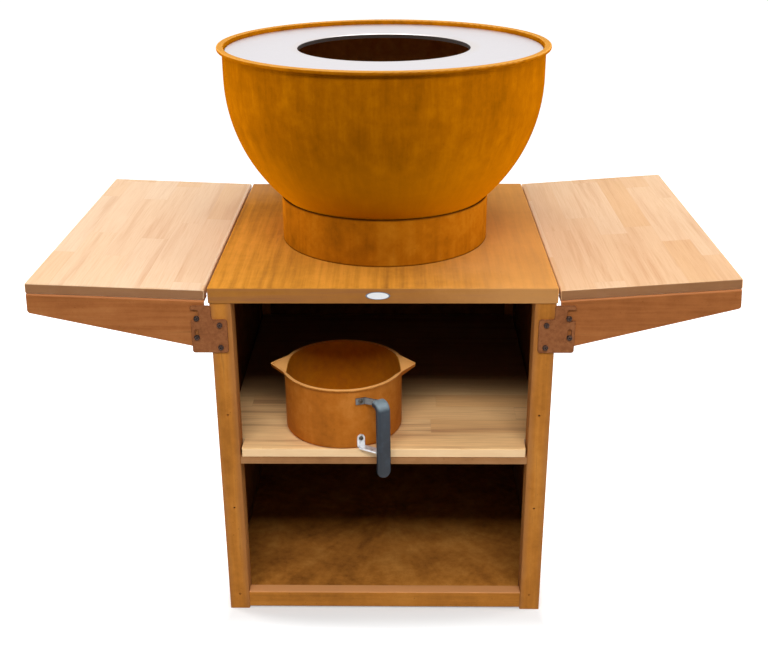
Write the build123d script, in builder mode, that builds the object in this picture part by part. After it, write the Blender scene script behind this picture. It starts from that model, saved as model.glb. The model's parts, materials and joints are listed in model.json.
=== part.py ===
from build123d import *
import os
from math import asin, cos, radians, sin, sqrt

# Outdoor kitchen: a rusted steel cabinet with an open shelf, a fire bowl with a round cooking
# plate standing on a ring, two side tables that lift and fold down, and a steel pot.
# Millimetres. +X is the cabinet's right, +Y its back and +Z up. The origin is on the floor
# under the middle of the cabinet.

# Cabinet carcass
CABINET_WIDTH = 600.0
CABINET_DEPTH = 650.0
CABINET_HEIGHT = 666.0
SHEET = 2.0  # thickness of the cabinet's sheet steel
SEAM = 0.2  # gap at a welded or pushed-together seam
FOLD_RADIUS = 2.5  # outside radius of a folded edge
TOP_LIP = 28.0  # height of the folded lip round the top
STILE_WIDTH = 37.0
STILE_DEPTH = 38.0
STILE_HOLE_RADIUS = 2.0
STILE_HOLE_INSET = 19.5  # from the stile's outer edge
STILE_HOLE_FIRST = 33.0  # height of the lowest hole
STILE_HOLE_PITCH = 194.0
STILE_HOLE_COUNT = 3
BACK_SCREW_COUNT = 3  # down each rear stile
BACK_SCREW_FIRST = 42.0  # height of the lowest screw

# Floor of the cabinet and its front rail
FLOOR_PAN_HEIGHT = 20.0
RAIL_CLEARANCE = 2.5  # under the rail
RAIL_HEIGHT = 34.0
RAIL_DEPTH = 22.0
RAIL_INSET = 2.0  # the rail stands this far behind the stiles' faces

# Shelf
SHELF_UNDERSIDE = 321.0
SHELF_LIP = 13.5
SHELF_INSET = 1.0  # behind the stiles' faces
SHELF_BOARD = 17.5  # thickness of the loose wooden board
SHELF_BOARD_GAP = 3.0  # beside each stile
SHELF_BOARD_PLAY = 2.0  # beside the side panels and the back
SHELF_ANGLE_LEG = 20.0
SHELF_ANGLE_END = 20.0  # from the angle's end to the nearest stile
SHELF_RIVET_COUNT = 3
SHELF_RIVET_END = 40.0
BOARD_EASE = 2.0  # rounding of wooden edges

# Fire bowl, its ring and the cooking plate
RING_SETBACK = 300.0  # of the ring's middle behind the top's front edge
RING_RADIUS = 196.5
RING_SHEET = 3.0
RING_HEIGHT = 87.0
BOWL_RADIUS = 294.0
BOWL_WALL = 3.0
BOWL_STRAIGHT = 56.0  # upright part of the wall above the round part
BOWL_SEAT_GAP = 0.3
RIM_OVERHANG = 9.5  # outside the wall
RIM_HEIGHT = 7.0
RIM_CORNER = 3.0
PLATE_GAP = 1.5  # round the cooking plate
PLATE_DROP = 8.5  # plate's face below the rim's top
PLATE_THICKNESS = 8.0
PLATE_HOLE_RADIUS = 158.0
PLATE_EDGE = 1.0
PLATE_REST_COUNT = 4
PLATE_REST_TURN = 45.0  # degrees of the first lug from +X
PLATE_REST_REACH = 24.0
PLATE_REST_WIDTH = 40.0
PLATE_REST_THICKNESS = 6.0

# Side tables. Heights and reaches are from the pivot bolt, with the table level.
RIGHT_RISE = 4.0  # degrees that the outer end stands above level
LEFT_RISE = 2.3
LIFT = 12.0  # how far a table lifts in its slots
TABLE_LENGTH = 308.0
TABLE_INNER_REACH = 13.0  # from the pivot back towards the cabinet
TABLE_GAP = 3.4  # from the cabinet's top to the steeper table
TABLE_STEP = 5.0  # of a level table's face below the cabinet's top
TABLE_BOARD = 19.0
TABLE_SETBACK = 2.0  # of the board's front edge behind the front arm's face
TABLE_OVERHANG = 22.0  # of the board's rear edge over the rear arm
TABLE_EASE = 3.0
ARM_SHEET = 3.0
ARM_PLAY = 0.4  # between an arm and its bracket
ARM_BEND = 4.0  # outside radius under the board's edge
ARM_BELOW_PIVOT = 22.0
ARM_HEEL = 10.0  # rounding below the pivot
ARM_TIP_HEIGHT = 34.5
ARM_TIP_INSET = 2.0  # from the board's outer edge
ARM_CORNER = 6.0  # at the tip
ARM_FLANGE = 30.0
LATCH_HEIGHT = 36.0
BOARD_SCREW_COUNT = 3  # along each arm
BOARD_SCREW_END = 30.0
BOARD_SCREW_BITE = 12.0  # depth in the wood

# Bracket plates that carry the tables
BRACKET_SHEET = 3.0
BRACKET_INNER_EDGE = 13.0  # from the stile bolts inward
BRACKET_OUTER_EDGE = 9.0  # from the pivot outward
BRACKET_STEP = 2.0  # of the raised part over the stile's outer edge
BRACKET_LAND = 10.0  # from a stile bolt to the plate's upper or lower edge
BRACKET_CREST_LAND = 7.7  # of plate above the notch
BRACKET_CREST_GAP = 8.5  # from the plate's crest to the board
BRACKET_CORNER = 4.5
STILE_BOLT_INSET = 16.0
STILE_BOLT_ABOVE = 23.0  # from the pivot
STILE_BOLT_BELOW = 19.0

# Bolts, nuts, screws and rivets
BOLT_RADIUS = 3.0
BOLT_HEAD_RADIUS = 5.0
BOLT_HEAD = 3.4
BOLT_HOLE_PLAY = 0.05  # running fit, on the radius
BOLT_SLOT_PLAY = 0.3  # on the radius, in slots and clearance holes
BOLT_FACE_PLAY = 0.2  # under a head or nut that moves
NUT_WIDTH = 10.0  # across flats
NUT_HEIGHT = 5.0
THREAD_END = 2.0  # bolt standing out of its nut
SCREW_RADIUS = 2.0
SCREW_HEAD_RADIUS = 4.0
SCREW_HEAD = 2.0
SCREW_PLAY = 0.2  # on the radius
RIVET_TAIL = 1.5
HEAD_ROUNDING = 0.75  # share of a head's height that is rounded over
FIND = 0.01  # how near an edge lies to the place where it is looked for

# Blank oval plate on the top's front lip
BADGE_LENGTH = 42.0
BADGE_HEIGHT = 14.0
BADGE_SHEET = 0.8
BADGE_OFFSET = -8.0

# Pot
POT_OFFSET = -76.0  # of the pot's axis from the cabinet's middle
POT_EDGE = -2.0  # from the shelf's front edge back to the wall, which overhangs it
POT_RADIUS = 109.0
POT_HEIGHT = 120.0
POT_WALL = 2.0
POT_HEEL = 6.0  # rounding round the bottom
POT_BRIM = 4.0
SPOUT_REACH = 25.0  # of a spout's tip outside the wall
SPOUT_HALF_WIDTH = 50.0
SPOUT_DEPTH = 34.0
SPOUT_TIP_HALF_WIDTH = 3.0
SPOUT_TIP_RISE = 2.0
SPOUT_TIP_DEPTH = 4.0
SPOUT_WALL = 3.0  # of a spout, measured straight down
SPOUT_CUT_ABOVE = 8.0  # how far the cut that opens a spout runs above the brim
HANDLE_TURN = 31.0  # degrees from straight ahead towards the right
GRIP_WIDTH = 26.0
GRIP_DEPTH = 14.0
GRIP_CORNER = 5.5
GRIP_BEND = 11.0
GRIP_START_REACH = 22.0  # outside the pot's wall
GRIP_TOP_DROP = 24.0  # from the brim to the strap and the grip's upper leg
GRIP_ELBOW_REACH = 38.0
GRIP_END_REACH = 40.0
GRIP_END_HEIGHT = -33.0  # middle of the rounded end, which hangs over the shelf's front edge
STRAP_HEIGHT = 12.0
STRAP_SHEET = 3.0
STRAP_EAR = 4.5  # degrees of foot on each side of the rivet
HANDLE_SPREAD = 12.4  # degrees from the handle to the rivets beside it
STRUT_RIVET_HEIGHT = 22.0
STRUT_CLEARANCE = 1.0  # under the tabs
STRUT_STRIP_HEIGHT = 3.5
STRUT_WIDTH = 14.0
STRUT_SHEET = 3.0
STRUT_FOOT_HEIGHT = 14.0
STRUT_FOOT_WIDTH = 20.0
STRUT_SPREAD = 4.0  # from the grip's middle to each strip's end

# Worked out from the sizes above
BODY_X = CABINET_WIDTH / 2 - SHEET - SEAM
BODY_Y = CABINET_DEPTH / 2 - SHEET - SEAM
CARCASS_TOP = CABINET_HEIGHT - SHEET
STILE_INNER = BODY_X - STILE_WIDTH
STILE_BACK = -BODY_Y + STILE_DEPTH
INSIDE_X = BODY_X - 2 * SHEET - SEAM
INSIDE_Y = BODY_Y - 2 * SHEET - RIVET_TAIL - SEAM
STILE_BOLT_X = BODY_X - STILE_BOLT_INSET
BOLT_SEAT = BODY_Y + BRACKET_SHEET
BOLT_CLEAR = BOLT_RADIUS + BOLT_SLOT_PLAY
SCREW_CLEAR = SCREW_RADIUS + SCREW_PLAY
BRACKET_FOOT = STILE_BOLT_BELOW + BRACKET_LAND
BRACKET_SHOULDER = STILE_BOLT_ABOVE + BRACKET_LAND
BRACKET_CREST = LATCH_HEIGHT + LIFT + BOLT_CLEAR + BRACKET_CREST_LAND
ARM_TOP = BRACKET_CREST + BRACKET_CREST_GAP
ARM_FRONT = BODY_Y - ARM_PLAY
ARM_END = TABLE_LENGTH - TABLE_INNER_REACH - ARM_TIP_INSET
ARM_LENGTH = ARM_END + TABLE_INNER_REACH
TABLE_TOP_HEIGHT = ARM_TOP + TABLE_BOARD
STEEPER = radians(max(RIGHT_RISE, LEFT_RISE))
TABLE_LEAN = TABLE_TOP_HEIGHT * sin(STEEPER) + TABLE_INNER_REACH * cos(STEEPER)
PIVOT_X = CABINET_WIDTH / 2 + TABLE_GAP + TABLE_LEAN
PIVOT_Z = CABINET_HEIGHT - TABLE_STEP - TABLE_TOP_HEIGHT
NUT_CORNER = NUT_WIDTH / sqrt(3)
BACK_HALF_WIDTH = STILE_BOLT_X - NUT_CORNER - SHEET
BACK_SCREW_X = (BACK_HALF_WIDTH + STILE_INNER) / 2
BACK_SCREW_LAST = (PIVOT_Z + BRACKET_SHOULDER + CABINET_HEIGHT - TOP_LIP) / 2
BACK_SCREW_PITCH = (BACK_SCREW_LAST - BACK_SCREW_FIRST) / (BACK_SCREW_COUNT - 1)
BACK_SCREW_MIDDLE = (BACK_SCREW_LAST + BACK_SCREW_FIRST) / 2
SHELF_TOP = SHELF_UNDERSIDE + SHELF_LIP + SHELF_BOARD
SHELF_FRONT = -BODY_Y + SHELF_INSET
SHELF_ANGLE_LENGTH = 2 * (BODY_Y - STILE_DEPTH - SHELF_ANGLE_END)
SHELF_RIVET_PITCH = (SHELF_ANGLE_LENGTH - 2 * SHELF_RIVET_END) / (SHELF_RIVET_COUNT - 1)
SHELF_RIVET_Z = SHELF_UNDERSIDE - SHELF_ANGLE_LEG / 2 - SHEET / 2
RING_Y = RING_SETBACK - CABINET_DEPTH / 2
RING_TOP = CABINET_HEIGHT + RING_HEIGHT
BOWL_AXIS = Axis((0, RING_Y, 0), (0, 0, 1))
BOWL_INNER = BOWL_RADIUS - BOWL_WALL
BOWL_CENTRE = RING_TOP + sqrt((BOWL_RADIUS + BOWL_SEAT_GAP) ** 2 - (RING_RADIUS - RING_SHEET) ** 2)
RIM_TOP = BOWL_CENTRE + BOWL_STRAIGHT
RIM_WIDTH = BOWL_WALL + RIM_OVERHANG
PLATE_FACE = RIM_TOP - PLATE_DROP
PLATE_UNDERSIDE = PLATE_FACE - PLATE_THICKNESS
POT_Y = SHELF_FRONT + POT_EDGE + POT_RADIUS
POT_MIDDLE = Vector(POT_OFFSET, POT_Y, SHELF_TOP)
GRIP_TOP_HEIGHT = POT_HEIGHT - GRIP_TOP_DROP
STRAP_RIVET_GRIP = STRAP_SHEET + POT_WALL + 2 * SEAM
STRUT_RIVET_GRIP = STRUT_SHEET + POT_WALL + 2 * SEAM
SIDES = (1, -1)
ENDS = (-1, 1)

os.makedirs("parts", exist_ok=True)


def keep(piece, name):
    """Label a finished piece and write it to its own file."""
    piece.part.label = name
    export_step(piece.part, f"parts/{name}.step")


def keep_right_and_left(piece, name):
    """Keep a right-hand piece and its mirror image on the left."""
    keep(piece, f"right_{name}")
    keep(mirrored(piece), f"left_{name}")


def mirrored(piece):
    """The left-hand twin of a right-hand piece."""
    with BuildPart() as twin:
        mirror(piece.part, about=Plane.YZ)
    return twin


def sided(piece, side):
    """The piece as built for the right, or its twin for the left."""
    return piece if side > 0 else mirrored(piece)


def seat(x, y, z, facing):
    """A plane for a fastener: its head stands on the plane and points along facing."""
    return Plane(origin=(x, y, z), z_dir=facing)


def tee_outline(inset, tongue, shoulder_gap, front, wing, back):
    """Plan of a sheet that fills the cabinet behind the stiles and runs out between them."""
    half_tongue = tongue - inset
    half_wing = wing - inset
    shoulder = STILE_BACK + shoulder_gap + inset
    right = [
        (half_tongue, front + inset),
        (half_tongue, shoulder),
        (half_wing, shoulder),
        (half_wing, back - inset),
    ]
    left = [(-x, y) for x, y in reversed(right)]
    return right + left


def headed_group(seats, shank_radius, shank_length, head_radius, head_height, tail=0.0):
    """Bolts, screws or rivets with domed heads, one on each seat."""
    with BuildPart() as group:
        for place in seats:
            with BuildSketch(place):
                Circle(head_radius)
            extrude(amount=head_height)
            with BuildSketch(place):
                Circle(shank_radius)
            extrude(amount=-shank_length)
            if tail:
                with BuildSketch(place.offset(-shank_length)):
                    Circle(head_radius)
                extrude(amount=-tail)
        for place in seats:
            crown = place.offset(head_height).origin
            crown_edges = group.edges().filter_by(GeomType.CIRCLE).filter_by(
                lambda edge: (edge.arc_center - crown).length < FIND
            )
            fillet(crown_edges, HEAD_ROUNDING * head_height)
    return group


def nut_group(seats, standoff):
    """Hexagon nuts behind each seat, with their faces standoff below it."""
    with BuildPart() as group:
        for place in seats:
            with BuildSketch(place.offset(-standoff)):
                RegularPolygon(NUT_CORNER, 6)
                Circle(BOLT_RADIUS + BOLT_HOLE_PLAY, mode=Mode.SUBTRACT)
            extrude(amount=-NUT_HEIGHT)
    return group


# Folded top with a lip on all four sides
with BuildPart() as top_panel:
    with BuildSketch(Plane.XY.offset(CABINET_HEIGHT)):
        Rectangle(CABINET_WIDTH, CABINET_DEPTH)
    extrude(amount=-TOP_LIP)
    fillet(top_panel.edges().filter_by(Axis.Z), FOLD_RADIUS)
    fillet(top_panel.faces().sort_by(Axis.Z)[-1].edges(), FOLD_RADIUS)
    with BuildSketch(Plane.XY.offset(CARCASS_TOP)):
        Rectangle(CABINET_WIDTH - 2 * SHEET, CABINET_DEPTH - 2 * SHEET)
    extrude(amount=-TOP_LIP, mode=Mode.SUBTRACT)
keep(top_panel, "top_panel")

# Side panels, with holes for the rivets of the shelf angles
with BuildPart() as side_panel:
    with Locations((BODY_X - SHEET / 2, 0, CARCASS_TOP / 2)):
        Box(SHEET, 2 * (BODY_Y - SHEET), CARCASS_TOP)
    with BuildSketch(Plane.YZ.offset(BODY_X)):
        with Locations((0, SHELF_RIVET_Z)):
            with GridLocations(SHELF_RIVET_PITCH, 1, SHELF_RIVET_COUNT, 1):
                Circle(SCREW_CLEAR)
    extrude(amount=-2 * SHEET, mode=Mode.SUBTRACT)
keep_right_and_left(side_panel, "side_panel")

# Front stiles: a face folded back along the doorway, with holes for the bracket and for fittings
with BuildPart() as front_stile:
    with BuildSketch() as front_stile_plan:
        with BuildLine():
            Polyline(
                (STILE_INNER, -BODY_Y),
                (BODY_X, -BODY_Y),
                (BODY_X, -BODY_Y + SHEET),
                (STILE_INNER + SHEET, -BODY_Y + SHEET),
                (STILE_INNER + SHEET, STILE_BACK),
                (STILE_INNER, STILE_BACK),
                close=True,
            )
        make_face()
        fillet(front_stile_plan.vertices().sort_by_distance((STILE_INNER, -BODY_Y))[0], FOLD_RADIUS)
    extrude(amount=CARCASS_TOP)
    with BuildSketch(Plane.XZ.offset(BODY_Y)):
        for hole in range(STILE_HOLE_COUNT):
            with Locations((BODY_X - STILE_HOLE_INSET, STILE_HOLE_FIRST + hole * STILE_HOLE_PITCH)):
                Circle(STILE_HOLE_RADIUS)
        with Locations(
            (STILE_BOLT_X, PIVOT_Z + STILE_BOLT_ABOVE),
            (STILE_BOLT_X, PIVOT_Z - STILE_BOLT_BELOW),
        ):
            Circle(BOLT_CLEAR)
    extrude(amount=-2 * SHEET, mode=Mode.SUBTRACT)
keep_right_and_left(front_stile, "front_stile")

# Rear stiles: corner angles that lie against the side panels
with BuildPart() as rear_stile:
    with BuildSketch() as rear_stile_plan:
        with BuildLine():
            Polyline(
                (STILE_INNER, BODY_Y),
                (BODY_X, BODY_Y),
                (BODY_X, BODY_Y - SHEET),
                (BODY_X - SHEET, BODY_Y - SHEET),
                (BODY_X - SHEET, BODY_Y - STILE_DEPTH),
                (BODY_X - 2 * SHEET, BODY_Y - STILE_DEPTH),
                (BODY_X - 2 * SHEET, BODY_Y - SHEET),
                (STILE_INNER, BODY_Y - SHEET),
                close=True,
            )
        make_face()
    extrude(amount=CARCASS_TOP)
    with BuildSketch(Plane.XZ.offset(-BODY_Y)):
        with Locations((BACK_SCREW_X, BACK_SCREW_MIDDLE)):
            with GridLocations(1, BACK_SCREW_PITCH, 1, BACK_SCREW_COUNT):
                Circle(SCREW_CLEAR)
        with Locations(
            (STILE_BOLT_X, PIVOT_Z + STILE_BOLT_ABOVE),
            (STILE_BOLT_X, PIVOT_Z - STILE_BOLT_BELOW),
        ):
            Circle(BOLT_CLEAR)
    extrude(amount=SHEET, mode=Mode.SUBTRACT)
keep_right_and_left(rear_stile, "rear_stile")

# Back panel, screwed to the inside of the rear stiles
with BuildPart() as back_panel:
    with Locations((0, BODY_Y - SHEET - SHEET / 2, CARCASS_TOP / 2)):
        Box(2 * BACK_HALF_WIDTH, SHEET, CARCASS_TOP)
    with BuildSketch(Plane.XZ.offset(-BODY_Y)):
        with Locations((0, BACK_SCREW_MIDDLE)):
            with GridLocations(2 * BACK_SCREW_X, BACK_SCREW_PITCH, 2, BACK_SCREW_COUNT):
                Circle(SCREW_CLEAR)
    extrude(amount=3 * SHEET, mode=Mode.SUBTRACT)
keep(back_panel, "back_panel")

back_seats = [
    seat(side * BACK_SCREW_X, BODY_Y, BACK_SCREW_FIRST + BACK_SCREW_PITCH * row, (0, 1, 0))
    for side in SIDES
    for row in range(BACK_SCREW_COUNT)
]
back_screws = headed_group(
    back_seats, SCREW_RADIUS, 2 * SHEET, SCREW_HEAD_RADIUS, SCREW_HEAD, tail=RIVET_TAIL
)
keep(back_screws, "back_screws")

# Floor pan: a sheet with a skirt that stands on the ground
with BuildPart() as floor_pan:
    pan_shape = {
        "tongue": STILE_INNER - SEAM,
        "shoulder_gap": SEAM,
        "front": -BODY_Y + RAIL_INSET + RAIL_DEPTH + SEAM,
        "wing": INSIDE_X,
        "back": INSIDE_Y,
    }
    with BuildSketch():
        with BuildLine():
            Polyline(*tee_outline(0, **pan_shape), close=True)
        make_face()
    extrude(amount=FLOOR_PAN_HEIGHT)
    with BuildSketch():
        with BuildLine():
            Polyline(*tee_outline(SHEET, **pan_shape), close=True)
        make_face()
    extrude(amount=FLOOR_PAN_HEIGHT - SHEET, mode=Mode.SUBTRACT)
keep(floor_pan, "floor_pan")

# Front rail: a channel between the stiles, open to the back
with BuildPart() as front_rail:
    rail_front = -BODY_Y + RAIL_INSET
    rail_middle = RAIL_CLEARANCE + RAIL_HEIGHT / 2
    with Locations((0, rail_front + RAIL_DEPTH / 2, rail_middle)):
        Box(2 * (STILE_INNER - SEAM), RAIL_DEPTH, RAIL_HEIGHT)
    front_edges = front_rail.faces().sort_by(Axis.Y)[0].edges().filter_by(Axis.X)
    fillet(front_edges, FOLD_RADIUS)
    with Locations((0, rail_front + RAIL_DEPTH / 2 + SHEET, rail_middle)):
        Box(CABINET_WIDTH, RAIL_DEPTH, RAIL_HEIGHT - 2 * SHEET, mode=Mode.SUBTRACT)
keep(front_rail, "front_rail")

# Shelf tray: a sheet with a lip all round, turned down
with BuildPart() as shelf_tray:
    tray_shape = {
        "tongue": STILE_INNER - SEAM,
        "shoulder_gap": SEAM,
        "front": SHELF_FRONT,
        "wing": INSIDE_X,
        "back": INSIDE_Y,
    }
    with BuildSketch(Plane.XY.offset(SHELF_UNDERSIDE)):
        with BuildLine():
            Polyline(*tee_outline(0, **tray_shape), close=True)
        make_face()
    extrude(amount=SHELF_LIP)
    with BuildSketch(Plane.XY.offset(SHELF_UNDERSIDE)):
        with BuildLine():
            Polyline(*tee_outline(SHEET, **tray_shape), close=True)
        make_face()
    extrude(amount=SHELF_LIP - SHEET, mode=Mode.SUBTRACT)
keep(shelf_tray, "shelf_tray")

# Shelf angles on the side panels, under the tray's lips
with BuildPart() as shelf_angle:
    angle_outer = BODY_X - SHEET
    with BuildSketch(Plane.XZ.offset(-SHELF_ANGLE_LENGTH / 2)) as shelf_angle_section:
        with BuildLine():
            Polyline(
                (angle_outer, SHELF_UNDERSIDE),
                (angle_outer - SHELF_ANGLE_LEG, SHELF_UNDERSIDE),
                (angle_outer - SHELF_ANGLE_LEG, SHELF_UNDERSIDE - SHEET),
                (angle_outer - SHEET, SHELF_UNDERSIDE - SHEET),
                (angle_outer - SHEET, SHELF_UNDERSIDE - SHELF_ANGLE_LEG),
                (angle_outer, SHELF_UNDERSIDE - SHELF_ANGLE_LEG),
                close=True,
            )
        make_face()
        corner = shelf_angle_section.vertices().sort_by_distance((angle_outer, SHELF_UNDERSIDE))[0]
        fillet(corner, FOLD_RADIUS)
    extrude(amount=SHELF_ANGLE_LENGTH)
    with BuildSketch(Plane.YZ.offset(BODY_X)):
        with Locations((0, SHELF_RIVET_Z)):
            with GridLocations(SHELF_RIVET_PITCH, 1, SHELF_RIVET_COUNT, 1):
                Circle(SCREW_CLEAR)
    extrude(amount=-3 * SHEET, mode=Mode.SUBTRACT)
keep_right_and_left(shelf_angle, "shelf_angle")

shelf_rivet_seats = [
    seat(side * BODY_X, SHELF_RIVET_PITCH * row, SHELF_RIVET_Z, (side, 0, 0))
    for side in SIDES
    for row in [number - (SHELF_RIVET_COUNT - 1) / 2 for number in range(SHELF_RIVET_COUNT)]
]
shelf_rivets = headed_group(
    shelf_rivet_seats, SCREW_RADIUS, 2 * SHEET, SCREW_HEAD_RADIUS, SCREW_HEAD, tail=RIVET_TAIL
)
keep(shelf_rivets, "shelf_rivets")

# Wooden shelf board, notched round the stiles and lying on the tray
with BuildPart() as shelf_board:
    board_shape = {
        "tongue": STILE_INNER - SHELF_BOARD_GAP,
        "shoulder_gap": SHELF_BOARD_GAP,
        "front": SHELF_FRONT,
        "wing": INSIDE_X - SHELF_BOARD_PLAY,
        "back": INSIDE_Y - SHELF_BOARD_PLAY,
    }
    with BuildSketch(Plane.XY.offset(SHELF_TOP)):
        with BuildLine():
            Polyline(*tee_outline(0, **board_shape), close=True)
        make_face()
    extrude(amount=-SHELF_BOARD)
    fillet(shelf_board.faces().sort_by(Axis.Y)[0].edges(), BOARD_EASE)
keep(shelf_board, "shelf_board")

# Blank oval plate on the front lip
with BuildPart() as badge_plate:
    with BuildSketch(Plane.XZ.offset(CABINET_DEPTH / 2)):
        with Locations((BADGE_OFFSET, CABINET_HEIGHT - TOP_LIP / 2)):
            Ellipse(BADGE_LENGTH / 2, BADGE_HEIGHT / 2)
    extrude(amount=BADGE_SHEET)
keep(badge_plate, "badge_plate")


def bowl_level(height):
    """A level plane at that height, with its origin on the bowl's axis."""
    return Plane(origin=(0, RING_Y, height))


# Ring that the bowl stands in
with BuildPart() as base_ring:
    with BuildSketch(bowl_level(CABINET_HEIGHT)):
        Circle(RING_RADIUS)
        Circle(RING_RADIUS - RING_SHEET, mode=Mode.SUBTRACT)
    extrude(amount=RING_HEIGHT)
keep(base_ring, "base_ring")

# Fire bowl with a flat rim
with BuildPart() as bowl_shell:
    with BuildSketch(Plane.XZ.offset(-RING_Y)):
        with BuildLine():
            CenterArc((0, BOWL_CENTRE), BOWL_RADIUS, -90, 90)
            Polyline(
                (BOWL_RADIUS, BOWL_CENTRE),
                (BOWL_RADIUS, RIM_TOP - RIM_HEIGHT / 2),
                (BOWL_INNER, RIM_TOP - RIM_HEIGHT / 2),
                (BOWL_INNER, BOWL_CENTRE),
            )
            CenterArc((0, BOWL_CENTRE), BOWL_INNER, -90, 90)
            Line((0, BOWL_CENTRE - BOWL_INNER), (0, BOWL_CENTRE - BOWL_RADIUS))
        make_face()
        with Locations((BOWL_INNER + RIM_WIDTH / 2, RIM_TOP - RIM_HEIGHT / 2)):
            RectangleRounded(RIM_WIDTH, RIM_HEIGHT, RIM_CORNER)
    revolve(axis=BOWL_AXIS)
keep(bowl_shell, "bowl_shell")

# Lugs inside the bowl that carry the cooking plate
with BuildPart() as plate_rests:
    rest_middle = BOWL_INNER - PLATE_REST_REACH / 2
    with BuildSketch(bowl_level(PLATE_UNDERSIDE)):
        with PolarLocations(rest_middle, PLATE_REST_COUNT, start_angle=PLATE_REST_TURN):
            Rectangle(PLATE_REST_REACH, PLATE_REST_WIDTH)
        Circle(BOWL_INNER - SEAM, mode=Mode.INTERSECT)
    extrude(amount=-PLATE_REST_THICKNESS)
keep(plate_rests, "plate_rests")

# Ring-shaped cooking plate
with BuildPart() as cooking_plate:
    with BuildSketch(bowl_level(PLATE_UNDERSIDE)):
        Circle(BOWL_INNER - PLATE_GAP)
        Circle(PLATE_HOLE_RADIUS, mode=Mode.SUBTRACT)
    extrude(amount=PLATE_THICKNESS)
    chamfer(cooking_plate.faces().sort_by(Axis.Z)[-1].edges(), PLATE_EDGE)
keep(cooking_plate, "cooking_plate")


def deck_plane(rise):
    """The table's own frame at its pivot: X along the table, Y to the back, Z out of its face."""
    slope = radians(rise)
    return Plane(
        origin=(PIVOT_X, 0, PIVOT_Z),
        x_dir=(cos(slope), 0, sin(slope)),
        z_dir=(-sin(slope), 0, cos(slope)),
    )


def side_plane(rise):
    """The table's side view at its pivot: X along the table, Y out of its face, Z to the front."""
    slope = radians(rise)
    return Plane(
        origin=(PIVOT_X, 0, PIVOT_Z),
        x_dir=(cos(slope), 0, sin(slope)),
        z_dir=(0, -1, 0),
    )


def latch_place(rise):
    """Where a latch bolt stands at rest, in the plane of the bracket."""
    return (
        PIVOT_X - LATCH_HEIGHT * sin(radians(rise)),
        PIVOT_Z + LATCH_HEIGHT * cos(radians(rise)),
    )


def make_bracket(rise, face):
    """A right-hand bracket plate whose inner face lies at face, along Y."""
    latch_x, latch_z = latch_place(rise)
    outer = PIVOT_X + BRACKET_OUTER_EDGE
    inner = STILE_BOLT_X - BRACKET_INNER_EDGE
    step = BODY_X - BRACKET_STEP
    # The notch is open outward, as low as the latch bolt drops on its way out of the plate.
    way_out = asin((BRACKET_OUTER_EDGE + BOLT_CLEAR) / LATCH_HEIGHT)
    notch_foot = PIVOT_Z + LATCH_HEIGHT * cos(way_out) - BOLT_CLEAR
    notch_head = latch_z + LIFT + BOLT_CLEAR
    notch_end = latch_x - BOLT_CLEAR
    with BuildPart() as plate:
        with BuildSketch(Plane.XZ.offset(-face)) as outline:
            with BuildLine():
                Polyline(
                    (inner, PIVOT_Z - BRACKET_FOOT),
                    (outer, PIVOT_Z - BRACKET_FOOT),
                    (outer, PIVOT_Z + BRACKET_CREST),
                    (step, PIVOT_Z + BRACKET_CREST),
                    (step, PIVOT_Z + BRACKET_SHOULDER),
                    (inner, PIVOT_Z + BRACKET_SHOULDER),
                    close=True,
                )
            make_face()
            fillet(outline.vertices(), BRACKET_CORNER)
            with Locations((PIVOT_X, PIVOT_Z + LIFT / 2)):
                SlotCenterToCenter(LIFT, 2 * BOLT_CLEAR, rotation=90, mode=Mode.SUBTRACT)
            with Locations(((notch_end + outer + BOLT_CLEAR) / 2, (notch_foot + notch_head) / 2)):
                RectangleRounded(
                    outer + BOLT_CLEAR - notch_end,
                    notch_head - notch_foot,
                    BOLT_CLEAR,
                    mode=Mode.SUBTRACT,
                )
            with Locations(
                (STILE_BOLT_X, PIVOT_Z + STILE_BOLT_ABOVE),
                (STILE_BOLT_X, PIVOT_Z - STILE_BOLT_BELOW),
            ):
                Circle(BOLT_CLEAR, mode=Mode.SUBTRACT)
        extrude(amount=-BRACKET_SHEET if face > 0 else BRACKET_SHEET)
    return plate


def board_screw_places():
    """Screws along both arms' flanges, as places on the table."""
    pitch = (ARM_LENGTH - 2 * BOARD_SCREW_END) / (BOARD_SCREW_COUNT - 1)
    first = BOARD_SCREW_END - TABLE_INNER_REACH
    across = ARM_FRONT - ARM_SHEET / 2 - ARM_FLANGE / 2
    return [
        (first + number * pitch, end * across)
        for end in ENDS
        for number in range(BOARD_SCREW_COUNT)
    ]


def make_board(rise):
    """A right-hand table board, with pilot holes for its screws."""
    with BuildPart(deck_plane(rise)) as board:
        middle = (TABLE_OVERHANG + TABLE_SETBACK) / 2
        depth = 2 * ARM_FRONT - TABLE_SETBACK + TABLE_OVERHANG
        with Locations(
            (TABLE_LENGTH / 2 - TABLE_INNER_REACH, middle, TABLE_TOP_HEIGHT - TABLE_BOARD / 2)
        ):
            Box(TABLE_LENGTH, depth, TABLE_BOARD)
        fillet(board.edges(), TABLE_EASE)
        with Locations(*[(x, y, ARM_TOP) for x, y in board_screw_places()]):
            Cylinder(
                SCREW_CLEAR,
                BOARD_SCREW_BITE + SCREW_RADIUS,
                align=(Align.CENTER, Align.CENTER, Align.MIN),
                mode=Mode.SUBTRACT,
            )
    return board


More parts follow.
